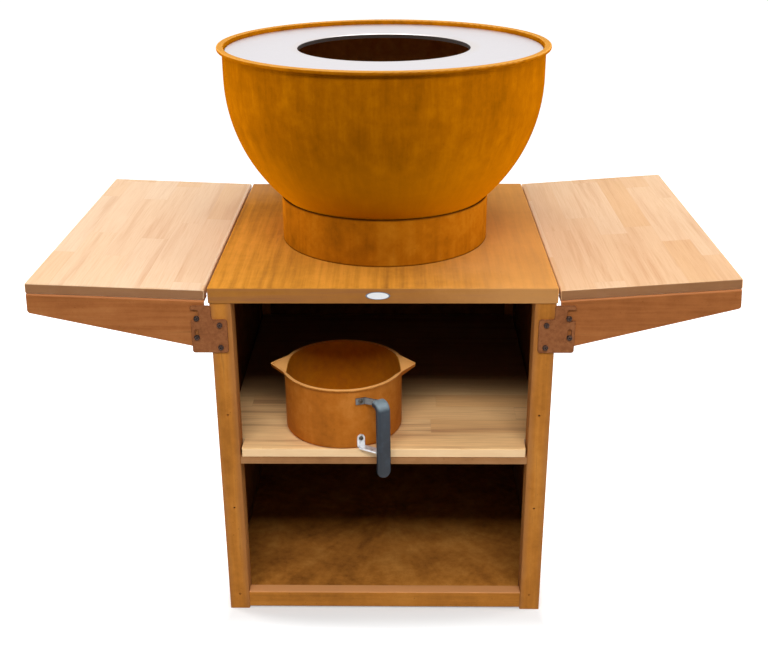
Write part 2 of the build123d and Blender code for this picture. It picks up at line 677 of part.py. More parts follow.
def make_arm(rise, end):
    """A right-hand arm: a tapering web with a flange folded in under the board."""
    front = -end * ARM_FRONT
    inward = -ARM_SHEET if end < 0 else ARM_SHEET
    with BuildPart() as arm:
        with BuildSketch(side_plane(rise).offset(front)) as web:
            with BuildLine():
                Polyline(
                    (-TABLE_INNER_REACH, -ARM_BELOW_PIVOT),
                    (-TABLE_INNER_REACH, ARM_TOP),
                    (ARM_END, ARM_TOP),
                    (ARM_END, ARM_TOP - ARM_TIP_HEIGHT),
                    close=True,
                )
            make_face()
            fillet(web.vertices().group_by(Axis.Y)[0], ARM_HEEL)
            fillet(web.vertices().sort_by(Axis.X)[-2:].sort_by(Axis.Y)[0], ARM_CORNER)
        extrude(amount=inward)
        with BuildSketch(side_plane(rise).offset(front)):
            with Locations((ARM_LENGTH / 2 - TABLE_INNER_REACH, ARM_TOP - ARM_SHEET / 2)):
                Rectangle(ARM_LENGTH, ARM_SHEET)
        extrude(amount=inward / ARM_SHEET * ARM_FLANGE)
        bend = arm.edges().filter_by(
            lambda edge: edge.length > ARM_LENGTH - FIND
            and abs(edge.center().Y - end * ARM_FRONT) < FIND
        )
        fillet(bend, ARM_BEND)
        with BuildSketch(side_plane(rise).offset(front)):
            with Locations((0, 0), (0, LATCH_HEIGHT)):
                Circle(BOLT_RADIUS + BOLT_HOLE_PLAY)
        extrude(amount=inward, mode=Mode.SUBTRACT)
        with BuildSketch(deck_plane(rise).offset(ARM_TOP)):
            with Locations(*[place for place in board_screw_places() if place[1] * end > 0]):
                Circle(SCREW_CLEAR)
        extrude(amount=-2 * ARM_SHEET, mode=Mode.SUBTRACT)
    return arm


# Two side tables with their brackets, bolts and screws
bolt_grip = BRACKET_SHEET + ARM_PLAY + ARM_SHEET
bracket_seats = []
for side, hand, rise in zip(SIDES, ("right", "left"), (RIGHT_RISE, LEFT_RISE)):
    keep(sided(make_board(rise), side), f"{hand}_board")
    latch_x, latch_z = latch_place(rise)
    latch_seats = []
    pivot_seats = []
    for end, place in zip(ENDS, ("front", "rear")):
        keep(sided(make_arm(rise, end), side), f"{hand}_{place}_arm")
        keep(sided(make_bracket(rise, end * BODY_Y), side), f"{place}_{hand}_bracket")
        face = end * (BOLT_SEAT + BOLT_FACE_PLAY)
        latch_seats.append(seat(latch_x, face, latch_z, (0, end, 0)))
        pivot_seats.append(seat(PIVOT_X, face, PIVOT_Z, (0, end, 0)))
        for z in (PIVOT_Z + STILE_BOLT_ABOVE, PIVOT_Z - STILE_BOLT_BELOW):
            bracket_seats.append(seat(side * STILE_BOLT_X, end * BOLT_SEAT, z, (0, end, 0)))
    for seats, kind in ((latch_seats, "latch"), (pivot_seats, "pivot")):
        standoff = bolt_grip + 2 * BOLT_FACE_PLAY
        shank = standoff + NUT_HEIGHT + THREAD_END
        bolts = headed_group(seats, BOLT_RADIUS, shank, BOLT_HEAD_RADIUS, BOLT_HEAD)
        keep(sided(bolts, side), f"{hand}_{kind}_bolts")
        keep(sided(nut_group(seats, standoff), side), f"{hand}_{kind}_nuts")
    screw_frame = deck_plane(rise)
    screw_seats = [
        Plane(
            origin=screw_frame.from_local_coords((x, y, ARM_TOP - ARM_SHEET)),
            z_dir=-screw_frame.z_dir,
        )
        for x, y in board_screw_places()
    ]
    board_screws = headed_group(
        screw_seats, SCREW_RADIUS, ARM_SHEET + BOARD_SCREW_BITE, SCREW_HEAD_RADIUS, SCREW_HEAD
    )
    keep(sided(board_screws, side), f"{hand}_board_screws")

# Bolts and nuts that hold the four brackets to the stiles
bracket_grip = BRACKET_SHEET + SHEET
bracket_bolts = headed_group(
    bracket_seats, BOLT_RADIUS, bracket_grip + NUT_HEIGHT + THREAD_END, BOLT_HEAD_RADIUS, BOLT_HEAD
)
keep(bracket_bolts, "bracket_bolts")
keep(nut_group(bracket_seats, bracket_grip), "bracket_nuts")


def around_pot(turn):
    """A direction out of the pot's wall, turned from straight ahead towards the right."""
    angle = radians(turn)
    return Vector(sin(angle), -cos(angle), 0)


def wall_seat(turn, height, standoff):
    """A fastener's seat outside the pot's wall."""
    out = around_pot(turn)
    return Plane(
        origin=POT_MIDDLE + out * (POT_RADIUS + standoff) + Vector(0, 0, height),
        x_dir=(0, 0, 1),
        z_dir=out,
    )


def pot_section(turn):
    """An upright plane through the pot's axis: X out of the wall, Y up."""
    out = around_pot(turn)
    return Plane(origin=POT_MIDDLE, x_dir=out, z_dir=out.cross(Vector(0, 0, 1)))


POT_AXIS = Axis(POT_MIDDLE, (0, 0, 1))
STRUT_TURNS = (HANDLE_TURN - HANDLE_SPREAD, HANDLE_TURN + HANDLE_SPREAD)
STRAP_TURN = STRUT_TURNS[0]
strap_seat = wall_seat(STRAP_TURN, GRIP_TOP_HEIGHT, SEAM + STRAP_SHEET)
strut_seats = [wall_seat(turn, STRUT_RIVET_HEIGHT, SEAM + STRUT_SHEET) for turn in STRUT_TURNS]


def spout_section(half_width, top, depth, lift):
    """One triangle across a spout; lift raises its point and widens its open top to match."""
    slope = half_width / (top + depth)
    head = top + (SPOUT_CUT_ABOVE if lift else 0.0)
    reach = slope * (head + depth - lift)
    return [(-reach, head), (reach, head), (0, lift - depth)]


def spout_planes(side):
    """Planes across a spout, where it leaves the wall and at its tip."""
    base = sqrt(POT_RADIUS**2 - SPOUT_HALF_WIDTH**2)
    tip = POT_RADIUS + SPOUT_REACH
    rim = POT_MIDDLE + Vector(0, 0, POT_HEIGHT)
    return [
        Plane(origin=rim + Vector(side * reach, 0, 0), x_dir=(0, side, 0), z_dir=(side, 0, 0))
        for reach in (base, tip)
    ]


# Pot with a brim and two spouts
with BuildPart() as pot_body:
    with BuildSketch(pot_section(0)) as pot_profile:
        with BuildLine():
            Polyline(
                (0, 0),
                (POT_RADIUS, 0),
                (POT_RADIUS, POT_HEIGHT - POT_WALL),
                (POT_RADIUS + POT_BRIM, POT_HEIGHT - POT_WALL),
                (POT_RADIUS + POT_BRIM, POT_HEIGHT),
                (0, POT_HEIGHT),
                close=True,
            )
        make_face()
        fillet(pot_profile.vertices().sort_by_distance((POT_RADIUS, 0))[0], POT_HEEL)
    revolve(axis=POT_AXIS)
    for lift, mode in ((0.0, Mode.ADD), (SPOUT_WALL, Mode.SUBTRACT)):
        for side in SIDES:
            base_plane, tip_plane = spout_planes(side)
            with BuildSketch(base_plane):
                with BuildLine():
                    Polyline(*spout_section(SPOUT_HALF_WIDTH, 0.0, SPOUT_DEPTH, lift), close=True)
                make_face()
            with BuildSketch(tip_plane):
                with BuildLine():
                    Polyline(
                        *spout_section(SPOUT_TIP_HALF_WIDTH, SPOUT_TIP_RISE, SPOUT_TIP_DEPTH, lift),
                        close=True,
                    )
                make_face()
            loft(mode=mode)
    with BuildSketch(pot_section(0)) as pot_hollow:
        with BuildLine():
            Polyline(
                (0, POT_WALL),
                (POT_RADIUS - POT_WALL, POT_WALL),
                (POT_RADIUS - POT_WALL, POT_HEIGHT + SPOUT_CUT_ABOVE),
                (0, POT_HEIGHT + SPOUT_CUT_ABOVE),
                close=True,
            )
        make_face()
        inner_heel = pot_hollow.vertices().sort_by_distance((POT_RADIUS - POT_WALL, POT_WALL))[0]
        fillet(inner_heel, POT_HEEL - POT_WALL)
    revolve(axis=POT_AXIS, mode=Mode.SUBTRACT)
    for place in (strap_seat, *strut_seats):
        with BuildSketch(place):
            Circle(SCREW_CLEAR)
        extrude(amount=-2 * STRUT_RIVET_GRIP, mode=Mode.SUBTRACT)
keep(pot_body, "pot_body")

# Strap at the grip's upper end: a foot on the wall, bent off it into a level arm to the grip
handle_frame = pot_section(HANDLE_TURN)
grip_root = Plane(
    origin=handle_frame.from_local_coords((POT_RADIUS + GRIP_START_REACH, GRIP_TOP_HEIGHT)),
    x_dir=(0, 0, 1),
    z_dir=handle_frame.x_dir,
)
with BuildPart() as pot_strap:
    with BuildSketch(pot_section(STRAP_TURN - STRAP_EAR)):
        with Locations((POT_RADIUS + SEAM + STRAP_SHEET / 2, GRIP_TOP_HEIGHT)):
            Rectangle(STRAP_SHEET, STRAP_HEIGHT)
    revolve(axis=POT_AXIS, revolution_arc=2 * STRAP_EAR)
    bend_point = wall_seat(STRAP_TURN + STRAP_EAR, GRIP_TOP_HEIGHT, SEAM + STRAP_SHEET / 2).origin
    with Locations(bend_point):
        Cylinder(STRAP_SHEET / 2, STRAP_HEIGHT)
    arm_run = grip_root.origin - bend_point
    with BuildSketch(Plane(origin=bend_point, x_dir=(0, 0, 1), z_dir=arm_run)):
        Rectangle(STRAP_HEIGHT, STRAP_SHEET)
    extrude(amount=arm_run.length + STRAP_HEIGHT)
    with BuildSketch(grip_root):
        Rectangle(2 * STRAP_HEIGHT, 2 * GRIP_WIDTH)
    extrude(amount=2 * GRIP_WIDTH, mode=Mode.SUBTRACT)
    with BuildSketch(strap_seat):
        Circle(SCREW_CLEAR)
    extrude(amount=-STRAP_RIVET_GRIP, mode=Mode.SUBTRACT)
keep(pot_strap, "pot_strap")

# Grip: out from the strap, round an elbow and down in front of the pot to a rounded end
with BuildPart() as pot_grip:
    with BuildLine(handle_frame) as grip_path:
        FilletPolyline(
            (POT_RADIUS + GRIP_START_REACH, GRIP_TOP_HEIGHT),
            (POT_RADIUS + GRIP_ELBOW_REACH, GRIP_TOP_HEIGHT),
            (POT_RADIUS + GRIP_END_REACH, GRIP_END_HEIGHT),
            radius=GRIP_BEND,
        )
    with BuildSketch(grip_root):
        RectangleRounded(GRIP_DEPTH, GRIP_WIDTH, GRIP_CORNER)
    sweep(path=grip_path.line)
    end_point = grip_path.line @ 1
    end_plane = Plane(origin=end_point, x_dir=handle_frame.z_dir, z_dir=grip_path.line % 1)
    with BuildSketch(end_plane):
        RectangleRounded(GRIP_WIDTH, GRIP_DEPTH, GRIP_CORNER)
        with Locations((-GRIP_WIDTH / 2, 0)):
            Rectangle(GRIP_WIDTH, GRIP_DEPTH, mode=Mode.SUBTRACT)
    revolve(axis=Axis(end_point, end_plane.y_dir))
keep(pot_grip, "pot_grip")

# Strut at the grip's lower end: two tabs on the wall, two level strips and a foot against the grip
leg_share = (GRIP_TOP_HEIGHT - STRUT_STRIP_HEIGHT) / (GRIP_TOP_HEIGHT - GRIP_END_HEIGHT)
leg_reach = GRIP_ELBOW_REACH + leg_share * (GRIP_END_REACH - GRIP_ELBOW_REACH)
to_wall = (grip_path.line % 1).cross(handle_frame.z_dir)
strut_foot_plane = Plane(
    origin=handle_frame.from_local_coords((POT_RADIUS + leg_reach, STRUT_STRIP_HEIGHT))
    + to_wall * (GRIP_DEPTH / 2),
    x_dir=handle_frame.z_dir,
    z_dir=to_wall,
)
with BuildPart() as pot_strut:
    with BuildSketch(strut_foot_plane):
        Rectangle(STRUT_FOOT_WIDTH, STRUT_FOOT_HEIGHT)
    extrude(amount=STRUT_SHEET)
    tab_foot = STRUT_CLEARANCE + STRUT_WIDTH / 2
    for turn, spread in zip(STRUT_TURNS, (-STRUT_SPREAD, STRUT_SPREAD)):
        with BuildSketch(wall_seat(turn, (STRUT_RIVET_HEIGHT + tab_foot) / 2, SEAM)):
            SlotCenterToCenter(STRUT_RIVET_HEIGHT - tab_foot, STRUT_WIDTH)
        extrude(amount=STRUT_SHEET)
        strip_start = wall_seat(turn, STRUT_STRIP_HEIGHT, SEAM + STRUT_SHEET / 2).origin
        strip_end = strut_foot_plane.from_local_coords((-spread, 0, STRUT_SHEET / 2))
        strip_run = strip_end - strip_start
        with BuildSketch(Plane(origin=strip_start, x_dir=(0, 0, 1), z_dir=strip_run)):
            Rectangle(STRUT_SHEET, STRUT_WIDTH)
        extrude(amount=strip_run.length)
    with Locations(POT_MIDDLE):
        Cylinder(POT_RADIUS + SEAM, 2 * POT_HEIGHT, mode=Mode.SUBTRACT)
    with BuildSketch(strut_foot_plane):
        Rectangle(POT_RADIUS, POT_HEIGHT)
    extrude(amount=-GRIP_DEPTH, mode=Mode.SUBTRACT)
    for place in strut_seats:
        with BuildSketch(place):
            Circle(SCREW_CLEAR)
        extrude(amount=-STRUT_RIVET_GRIP, mode=Mode.SUBTRACT)
keep(pot_strut, "pot_strut")

# Rivets through the pot's wall: one for the strap and two for the strut
strap_rivet = headed_group(
    [strap_seat], SCREW_RADIUS, STRAP_RIVET_GRIP, SCREW_HEAD_RADIUS, SCREW_HEAD, tail=RIVET_TAIL
)
keep(strap_rivet, "strap_rivet")
strut_rivets = headed_group(
    strut_seats, SCREW_RADIUS, STRUT_RIVET_GRIP, SCREW_HEAD_RADIUS, SCREW_HEAD, tail=RIVET_TAIL
)
keep(strut_rivets, "strut_rivets")
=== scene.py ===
"""Outdoor kitchen: the finishes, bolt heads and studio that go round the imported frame.

Sizes are in metres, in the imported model's frame: +X is the cabinet's right, +Y its back, +Z up.
"""

import json
import logging
import math
from dataclasses import dataclass, field
from enum import Enum
from typing import Any, Callable, ClassVar, Mapping, Sequence, Union

import bpy
from mathutils import Matrix, Vector

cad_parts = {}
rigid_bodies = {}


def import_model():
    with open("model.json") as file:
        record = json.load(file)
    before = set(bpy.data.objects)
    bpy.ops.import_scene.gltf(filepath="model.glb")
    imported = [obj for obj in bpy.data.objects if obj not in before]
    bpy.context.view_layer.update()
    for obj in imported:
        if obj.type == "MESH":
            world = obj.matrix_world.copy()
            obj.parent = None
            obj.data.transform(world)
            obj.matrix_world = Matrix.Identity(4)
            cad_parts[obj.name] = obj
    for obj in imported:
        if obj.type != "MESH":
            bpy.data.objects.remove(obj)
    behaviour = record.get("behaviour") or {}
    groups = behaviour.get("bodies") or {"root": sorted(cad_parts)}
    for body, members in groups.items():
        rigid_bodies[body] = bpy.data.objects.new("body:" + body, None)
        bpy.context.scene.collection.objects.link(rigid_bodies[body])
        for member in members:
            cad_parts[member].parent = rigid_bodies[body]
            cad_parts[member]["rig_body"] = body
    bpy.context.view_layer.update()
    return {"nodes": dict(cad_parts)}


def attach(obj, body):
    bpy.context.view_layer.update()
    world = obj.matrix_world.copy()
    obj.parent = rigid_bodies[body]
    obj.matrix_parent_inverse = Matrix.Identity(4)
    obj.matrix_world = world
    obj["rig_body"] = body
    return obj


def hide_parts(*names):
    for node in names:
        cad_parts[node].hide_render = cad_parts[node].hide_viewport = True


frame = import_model()
LOG = logging.getLogger("outdoor_kitchen")
LEAST_SHANK = 0.0005
DIGITS = 6

Colour = tuple[float, float, float]
Source = Union["Signal", float, Sequence[float]]
Inputs = Mapping[Union[int, str], Source]
Span = tuple[float, float]
Facing = Callable[[Vector], Vector]
Outline = Callable[[float], float]
Ring = tuple[float, Outline]
Corner = tuple[float, ...]
Shares = tuple[float, ...]


def paint(red: int, green: int, blue: int) -> Colour:
    """Turn a screen colour of 0 to 255 into the linear colour that shaders take."""
    shares = (part / 255 for part in (red, green, blue))
    return tuple(s / 12.92 if s <= 0.04045 else ((s + 0.055) / 1.055) ** 2.4 for s in shares)


def placed(name: str, data: bpy.types.ID) -> bpy.types.Object:
    """Make an object of some data and link it to the scene.

    Args:
        name: The object's name.
        data: Its mesh, light or camera.

    Returns:
        The object.
    """
    made = bpy.data.objects.new(name, data)
    bpy.context.scene.collection.objects.link(made)
    return made


class Signal:
    """An output socket that takes part in shader expressions."""

    def __init__(self, graph: "Graph", socket: bpy.types.NodeSocket) -> None:
        """Wrap one output socket of a graph."""
        self.graph = graph
        self.socket = socket

    def _combine(self, operation: str, first: Source, second: Source) -> "Signal":
        """Add a Math node, or a Vector Math node where this signal is a vector.

        Args:
            operation: The node's operation.
            first: Left-hand side.
            second: Right-hand side.

        Returns:
            The node's result.
        """
        if self.socket.type == "VECTOR":
            return self.graph.vector(operation, first, second)
        return self.graph.math(operation, first, second)

    def __add__(self, other: Source) -> "Signal":
        """Sum."""
        return self._combine("ADD", self, other)

    def __radd__(self, other: Source) -> "Signal":
        """Sum with this signal on the right."""
        return self._combine("ADD", other, self)

    def __sub__(self, other: Source) -> "Signal":
        """Difference."""
        return self._combine("SUBTRACT", self, other)

    def __rsub__(self, other: Source) -> "Signal":
        """Difference with this signal on the right."""
        return self._combine("SUBTRACT", other, self)

    def __mul__(self, other: Source) -> "Signal":
        """Product."""
        return self._combine("MULTIPLY", self, other)

    def __rmul__(self, other: Source) -> "Signal":
        """Product with this signal on the right."""
        return self._combine("MULTIPLY", other, self)

    def __truediv__(self, other: Source) -> "Signal":
        """Quotient."""
        return self._combine("DIVIDE", self, other)

    def __rtruediv__(self, other: Source) -> "Signal":
        """Quotient with this signal on the right."""
        return self._combine("DIVIDE", other, self)

    def __abs__(self) -> "Signal":
        """Size without its sign."""
        return self._combine("ABSOLUTE", self, 0.0)

    def __floor__(self) -> "Signal":
        """Whole part, for math.floor."""
        return self._combine("FLOOR", self, 0.0)

    def __lt__(self, other: Source) -> "Signal":
        """Mask of 1 where this signal is the smaller."""
        return self._combine("LESS_THAN", self, other)

    def __gt__(self, other: Source) -> "Signal":
        """Mask of 1 where this signal is the larger."""
        return self._combine("GREATER_THAN", self, other)

    def __or__(self, other: Source) -> "Signal":
        """The larger of two masks."""
        return self._combine("MAXIMUM", self, other)

    def part(self, axis: int) -> "Signal":
        """One component of a vector."""
        return self.graph.add("ShaderNodeSeparateXYZ", {0: self}, output=axis)


class Graph:
    """The node tree of one material or of the world."""

    FIRST_STOPS = 2
    WEAR_SAMPLES = 6
    WEAR_SPAN = (0.99, 0.8)

    def __init__(self, tree: bpy.types.NodeTree) -> None:
        """Start with an empty tree."""
        self.tree = tree
        tree.nodes.clear()

    def add(
        self, kind: str, inputs: Inputs | None = None, output: int | str = 0, **settings: Any
    ) -> Signal | None:
        """Add any node.

        Args:
            kind: The node's type.
            inputs: Values or signals for its input sockets, by name or number.
            output: The output socket that is wanted.
            **settings: The node's own settings, set before its sockets; stops are a ramp's.

        Returns:
            That output, or None where the node has no outputs.
        """
        node = self.tree.nodes.new(kind)
        stops = settings.pop("stops", ())
        for name, value in settings.items():
            setattr(node, name, value)
        for number, (position, colour) in enumerate(stops):
            elements = node.color_ramp.elements
            stop = elements[number] if number < self.FIRST_STOPS else elements.new(position)
            stop.position = position
            stop.color = (*colour, 1.0)
        for key, source in (inputs or {}).items():
            self._feed(node.inputs[key], source)
        return Signal(self, node.outputs[output]) if node.outputs else None

    def _feed(self, socket: bpy.types.NodeSocket, source: Source) -> None:
        """Link a signal to a socket, or set the socket's own value.

        Args:
            socket: The input socket.
            source: A signal, a number, a colour or a vector.
        """
        if isinstance(source, Signal):
            self.tree.links.new(source.socket, socket)
        elif socket.type == "RGBA":
            socket.default_value = (*source, 1.0)
        elif socket.type == "VECTOR" and isinstance(source, (int, float)):
            socket.default_value = (source, source, source)
        else:
            socket.default_value = source

    def math(self, operation: str, *values: Source) -> Signal:
        """Add a Math node on the given values."""
        return self.add("ShaderNodeMath", dict(enumerate(values)), operation=operation)

    def vector(self, operation: str, *values: Source, output: str = "Vector") -> Signal:
        """Add a Vector Math node on the given vectors."""
        inputs = dict(enumerate(values))
        return self.add("ShaderNodeVectorMath", inputs, output, operation=operation)

    def place(self) -> Signal:
        """The point on the piece, in the frame that the piece rides in."""
        return self.add("ShaderNodeTexCoord", output="Object")

    def facing(self) -> Signal:
        """The surface's direction, in the frame that the piece rides in."""
        return self.add("ShaderNodeTexCoord", output="Normal")

    def noise(self, where: Signal, scale: float, detail: float = 4.0, rough: float = 0.6) -> Signal:
        """Smooth noise about one half, by blotches per metre and its finer layers."""
        inputs = {"Vector": where, "Scale": scale, "Detail": detail, "Roughness": rough}
        return self.add("ShaderNodeTexNoise", inputs, "Fac")

    def smooth(self, value: Source, low: Source, high: Source) -> Signal:
        """A soft step from 0 at low to 1 at high; low may be the larger."""
        inputs = {"Value": value, "From Min": low, "From Max": high}
        return self.add("ShaderNodeMapRange", inputs, interpolation_type="SMOOTHSTEP")

    # A Mix node has one factor, 0, and inputs for each kind of data: 4 and 5 are vectors, which
    # come out at 1, and 6 and 7 are colours, which come out at 2.

    def mix(self, share: Source, first: Source, second: Source) -> Signal:
        """Mix two colours; share is how much of the second one shows."""
        return self.add("ShaderNodeMix", {0: share, 6: first, 7: second}, 2, data_type="RGBA")

    def mix_places(self, share: Source, first: Source, second: Source) -> Signal:
        """Mix two points, as mix does two colours."""
        inputs = {0: share, 4: first, 5: second}
        return self.add("ShaderNodeMix", inputs, 1, data_type="VECTOR")

    def ramp(self, value: Signal, stops: Sequence[tuple[float, Colour]]) -> Signal:
        """A colour picked by a value from named stops."""
        return self.add("ShaderNodeValToRGB", {0: value}, stops=stops)

    def wear(self, radius: float) -> Signal:
        """Mask of the outer edges, where wear shows; the brackets use it for painted shadow.

        Args:
            radius: How far the wear runs in from an edge.

        Returns:
            0 on flat faces, rising to 1 along outer edges.
        """
        rounded = self.add("ShaderNodeBevel", {"Radius": radius}, samples=self.WEAR_SAMPLES)
        straight = self.add("ShaderNodeNewGeometry", output="Normal")
        likeness = self.vector("DOT_PRODUCT", rounded, straight, output="Value")
        return self.smooth(likeness, *self.WEAR_SPAN)

    def bump(self, height: Signal, distance: float) -> Signal:
        """A bumped normal from a height of 0 to 1 over a distance in metres."""
        inputs = {"Height": height, "Distance": distance, "Strength": 1.0}
        return self.add("ShaderNodeBump", inputs)

    def outward(self, place: Signal, axis: tuple[float, float]) -> Signal:
        """The level vector from an upright axis to the point."""
        return (place - (*axis, 0.0)) * (1.0, 1.0, 0.0)

    def length(self, way: Signal) -> Signal:
        """How long a vector is."""
        return self.vector("LENGTH", way, output="Value")

    def surface(self, inputs: Inputs) -> None:
        """End the tree in one Principled shader with these sockets."""
        shader = self.add("ShaderNodeBsdfPrincipled", inputs)
        self.add("ShaderNodeOutputMaterial", {"Surface": shader})


def weighed(shares: Shares, *signals: Signal) -> Signal:
    """The sum of signals, each times its share."""
    layers = [signal * share for signal, share in zip(signals, shares)]
    return sum(layers[1:], layers[0])


@dataclass(frozen=True)
class Finish:
    """One material, made on first use."""

    name: str
    made: ClassVar[dict[str, bpy.types.Material]] = {}

    def material(self) -> bpy.types.Material:
        """The finish as a Blender material.

        Returns:
            The material, the same one at every call.
        """
        if self.name not in self.made:
            material = bpy.data.materials.new(self.name)
            material.use_nodes = True
            self.shade(Graph(material.node_tree))
            self.made[self.name] = material
        return self.made[self.name]

    def shade(self, graph: Graph) -> None:
        """Build the node tree; each finish has its own."""
        raise NotImplementedError


class Run(Enum):
    """Which way the streaks of a finish run, as how far they are drawn out along each axis."""

    NONE = (1.0, 1.0, 1.0)
    ALONG_X = (0.045, 1.0, 1.0)
    ALONG_Y = (1.0, 0.045, 1.0)
    ALONG_Z = (1.0, 1.0, 0.045)


@dataclass(frozen=True)
class Rust(Finish):
    """Weathering steel: patches, mottling, streaks and pits of rust."""

    dark: Colour = paint(138, 84, 33)
    body: Colour = paint(190, 121, 48)
    pale: Colour = paint(219, 149, 68)
    pit: Colour = paint(74, 40, 16)
    edge: Colour = paint(160, 98, 44)
    # Colour of the inside: in the cabinet dark mill scale and painted shade.
    inner: Colour = paint(46, 24, 11)
    # Colour of painted shade on upright faces, where the streaks let it show.
    upright_shade: Colour | None = None
    # Colour of painted highlight on faces that look up.
    painted_highlight: Colour | None = None
    line: Colour = paint(96, 56, 24)
    line_share: float = 0.35
    run: Run = Run.NONE
    lip_run: Run | None = None
    patch_scale: float = 6.0
    streak_scale: float = 120.0
    streak_share: float = 0.35
    contrast: float = 1.0
    edge_share: float = 0.5
    relief: float = 0.0005
    roughness: float = 0.75
    shine: float = 0.03
    sheen: float = 0.0
    grain_scale: float = 700.0
    pit_scale: float = 210.0
    pit_share: float = 0.35
    painted_highlight_share: float = 0.8
    wear_reach: float = 0.0022
    tone_spread: float = 0.13
    FINER: ClassVar[float] = 7.0
    WASH_SHARES: ClassVar[Shares] = (0.4, 0.3, 0.3)
    GRAIN_SHARE: ClassVar[float] = 0.06
    TONE_REACHES: ClassVar[Shares] = (-1.5, 1.4, 0.0)
    SMEAR_GAIN: ClassVar[float] = 2.0
    SMEAR_LOSS: ClassVar[float] = 0.35
    RELIEF_SHARES: ClassVar[Shares] = (0.45, 0.3, 0.25, -0.3)
    ROUGH_SHARES: ClassVar[Shares] = (0.25, 0.1)
    LINE_SPAN: ClassVar[Span] = (0.6, 0.72)
    LINE_PATCHES: ClassVar[Span] = (0.45, 0.62)
    PIT_SPAN: ClassVar[Span] = (0.66, 0.74)
    WORN_SPAN: ClassVar[Span] = (0.35, 0.6)
    LEVEL_SPAN: ClassVar[Span] = (0.3, 0.7)
    TURN_SPAN: ClassVar[Span] = (0.4, 0.7)

    def shade(self, graph: Graph) -> None:
        """Layer the rust's colour, roughness and relief.

        Args:
            graph: The material's empty tree.
        """
        place = graph.place()
        patches = graph.noise(place, self.patch_scale, detail=5.0, rough=0.62)
        mottle = graph.noise(place, self.patch_scale * self.FINER, detail=5.0, rough=0.66)
        flow = self.flow(graph, place)
        streaks = graph.noise(flow, self.streak_scale)
        drifts = graph.noise(flow, self.streak_scale / self.FINER, detail=3.0)
        grain = graph.noise(place, self.grain_scale, detail=2.0)
        wash = weighed(self.WASH_SHARES, patches, mottle, drifts)
        wash_share = 1.0 - self.GRAIN_SHARE - self.streak_share
        bloom = wash * wash_share + streaks * self.streak_share + grain * self.GRAIN_SHARE
        colour = graph.ramp(bloom, self.tones())
        lines = graph.smooth(streaks, *self.LINE_SPAN)
        lines = lines * graph.smooth(patches, *self.LINE_PATCHES)
        colour = graph.mix(lines * self.line_share, colour, self.line)
        pits = graph.smooth(graph.noise(place, self.pit_scale, detail=3.0), *self.PIT_SPAN)
        colour = graph.mix(pits * self.pit_share, colour, self.pit)
        # Edge colour: wear on most pieces, painted shadow on the brackets.
        worn = graph.wear(self.wear_reach) * graph.smooth(mottle, *self.WORN_SPAN)
        colour = graph.mix(worn * self.edge_share, colour, self.edge)
        level = graph.smooth(graph.facing().part(2), *self.LEVEL_SPAN)
        # painted shade: upright faces take a darker colour, in streaks
        if self.upright_shade is not None:
            smears = streaks * self.SMEAR_GAIN - self.SMEAR_LOSS
            colour = graph.mix((1.0 - level) * smears, colour, self.upright_shade)
        # painted highlight: faces that look up are painted paler
        if self.painted_highlight is not None:
            colour = graph.mix(level * self.painted_highlight_share, colour, self.painted_highlight)
        colour = self.local(graph, place, colour, patches)
        # In the cabinet this mixes in the dark inside, partly painted shade; in round pieces the
        # burnt inside.
        inside_tone_and_shade = self.inside_tone_and_shade(graph, place)
        if inside_tone_and_shade is not None:
            colour = graph.mix(inside_tone_and_shade, colour, graph.mix(mottle, self.inner, self.dark))
        height = weighed(self.RELIEF_SHARES, mottle, grain, streaks, pits)
        graph.surface(
            {
                "Base Color": colour,
                "Roughness": self.roughness + weighed(self.ROUGH_SHARES, grain - 0.5, pits),
                "Specular IOR Level": self.shine,
                "Sheen Weight": self.sheen,
                "Sheen Tint": self.pale,
                "Normal": graph.bump(height, self.relief),
            }
        )

    def tones(self) -> list[tuple[float, Colour]]:
        """Stops of the three tones, closer together with more contrast.

        Returns:
            Position and colour of the dark, the pale and the middle tone.
        """
        spread = self.tone_spread / self.contrast
        tones = zip(self.TONE_REACHES, (self.dark, self.pale, self.body))
        return [(0.5 + reach * spread, tone) for reach, tone in tones]

    def flow(self, graph: Graph, place: Signal) -> Signal:
        """The point drawn out along the streaks.

        Args:
            graph: The material's tree.
            place: Point on the piece.

        Returns:
            The stretched point.
        """
        drawn = place * self.run.value
        if self.lip_run is None:
            return drawn
        level = graph.smooth(abs(graph.facing().part(2)), *self.TURN_SPAN)
        return graph.mix_places(level, place * self.lip_run.value, drawn)

    def local(self, graph: Graph, place: Signal, colour: Signal, patches: Signal) -> Signal:
        """The colour after what happens at single places only; plain rust has none of it."""
        return colour

    def inside_tone_and_shade(self, graph: Graph, place: Signal) -> Signal | None:
        """Mask of the inside, which takes the inner colour, or None where there is none:
        unweathered steel with painted shade in the cabinet, burnt steel in round pieces.
        """
        return None


@dataclass(frozen=True)
class CabinetRust(Rust):
    """Rust on the cabinet, whose inside is dark mill scale with painted shade that deepens from the
    doorway to the back.
    """

    half_width: float = 0.2968
    front: float = -0.315
    shade_depth: float = -0.16
    back: float = 0.3198
    top: float = 0.665
    floor_top: float = 0.021
    floor_share: float = 0.55

    def inside_tone_and_shade(self, graph: Graph, place: Signal) -> Signal | None:
        """Mask of dark mill scale and painted shade, which grows from the doorway to the back of
        the inside.

        Args:
            graph: The material's tree.
            place: Point on the piece.

        Returns:
            The mask.
        """
        depth = place.part(1)
        height = place.part(2)
        inside = (abs(place.part(0)) < self.half_width) * (depth < self.back) * (height < self.top)
        on_floor = (height < self.floor_top) * self.floor_share
        # painted shade: darker deeper inside, weaker on the floor pan
        return inside * graph.smooth(depth, self.front, self.shade_depth) * (1.0 - on_floor)


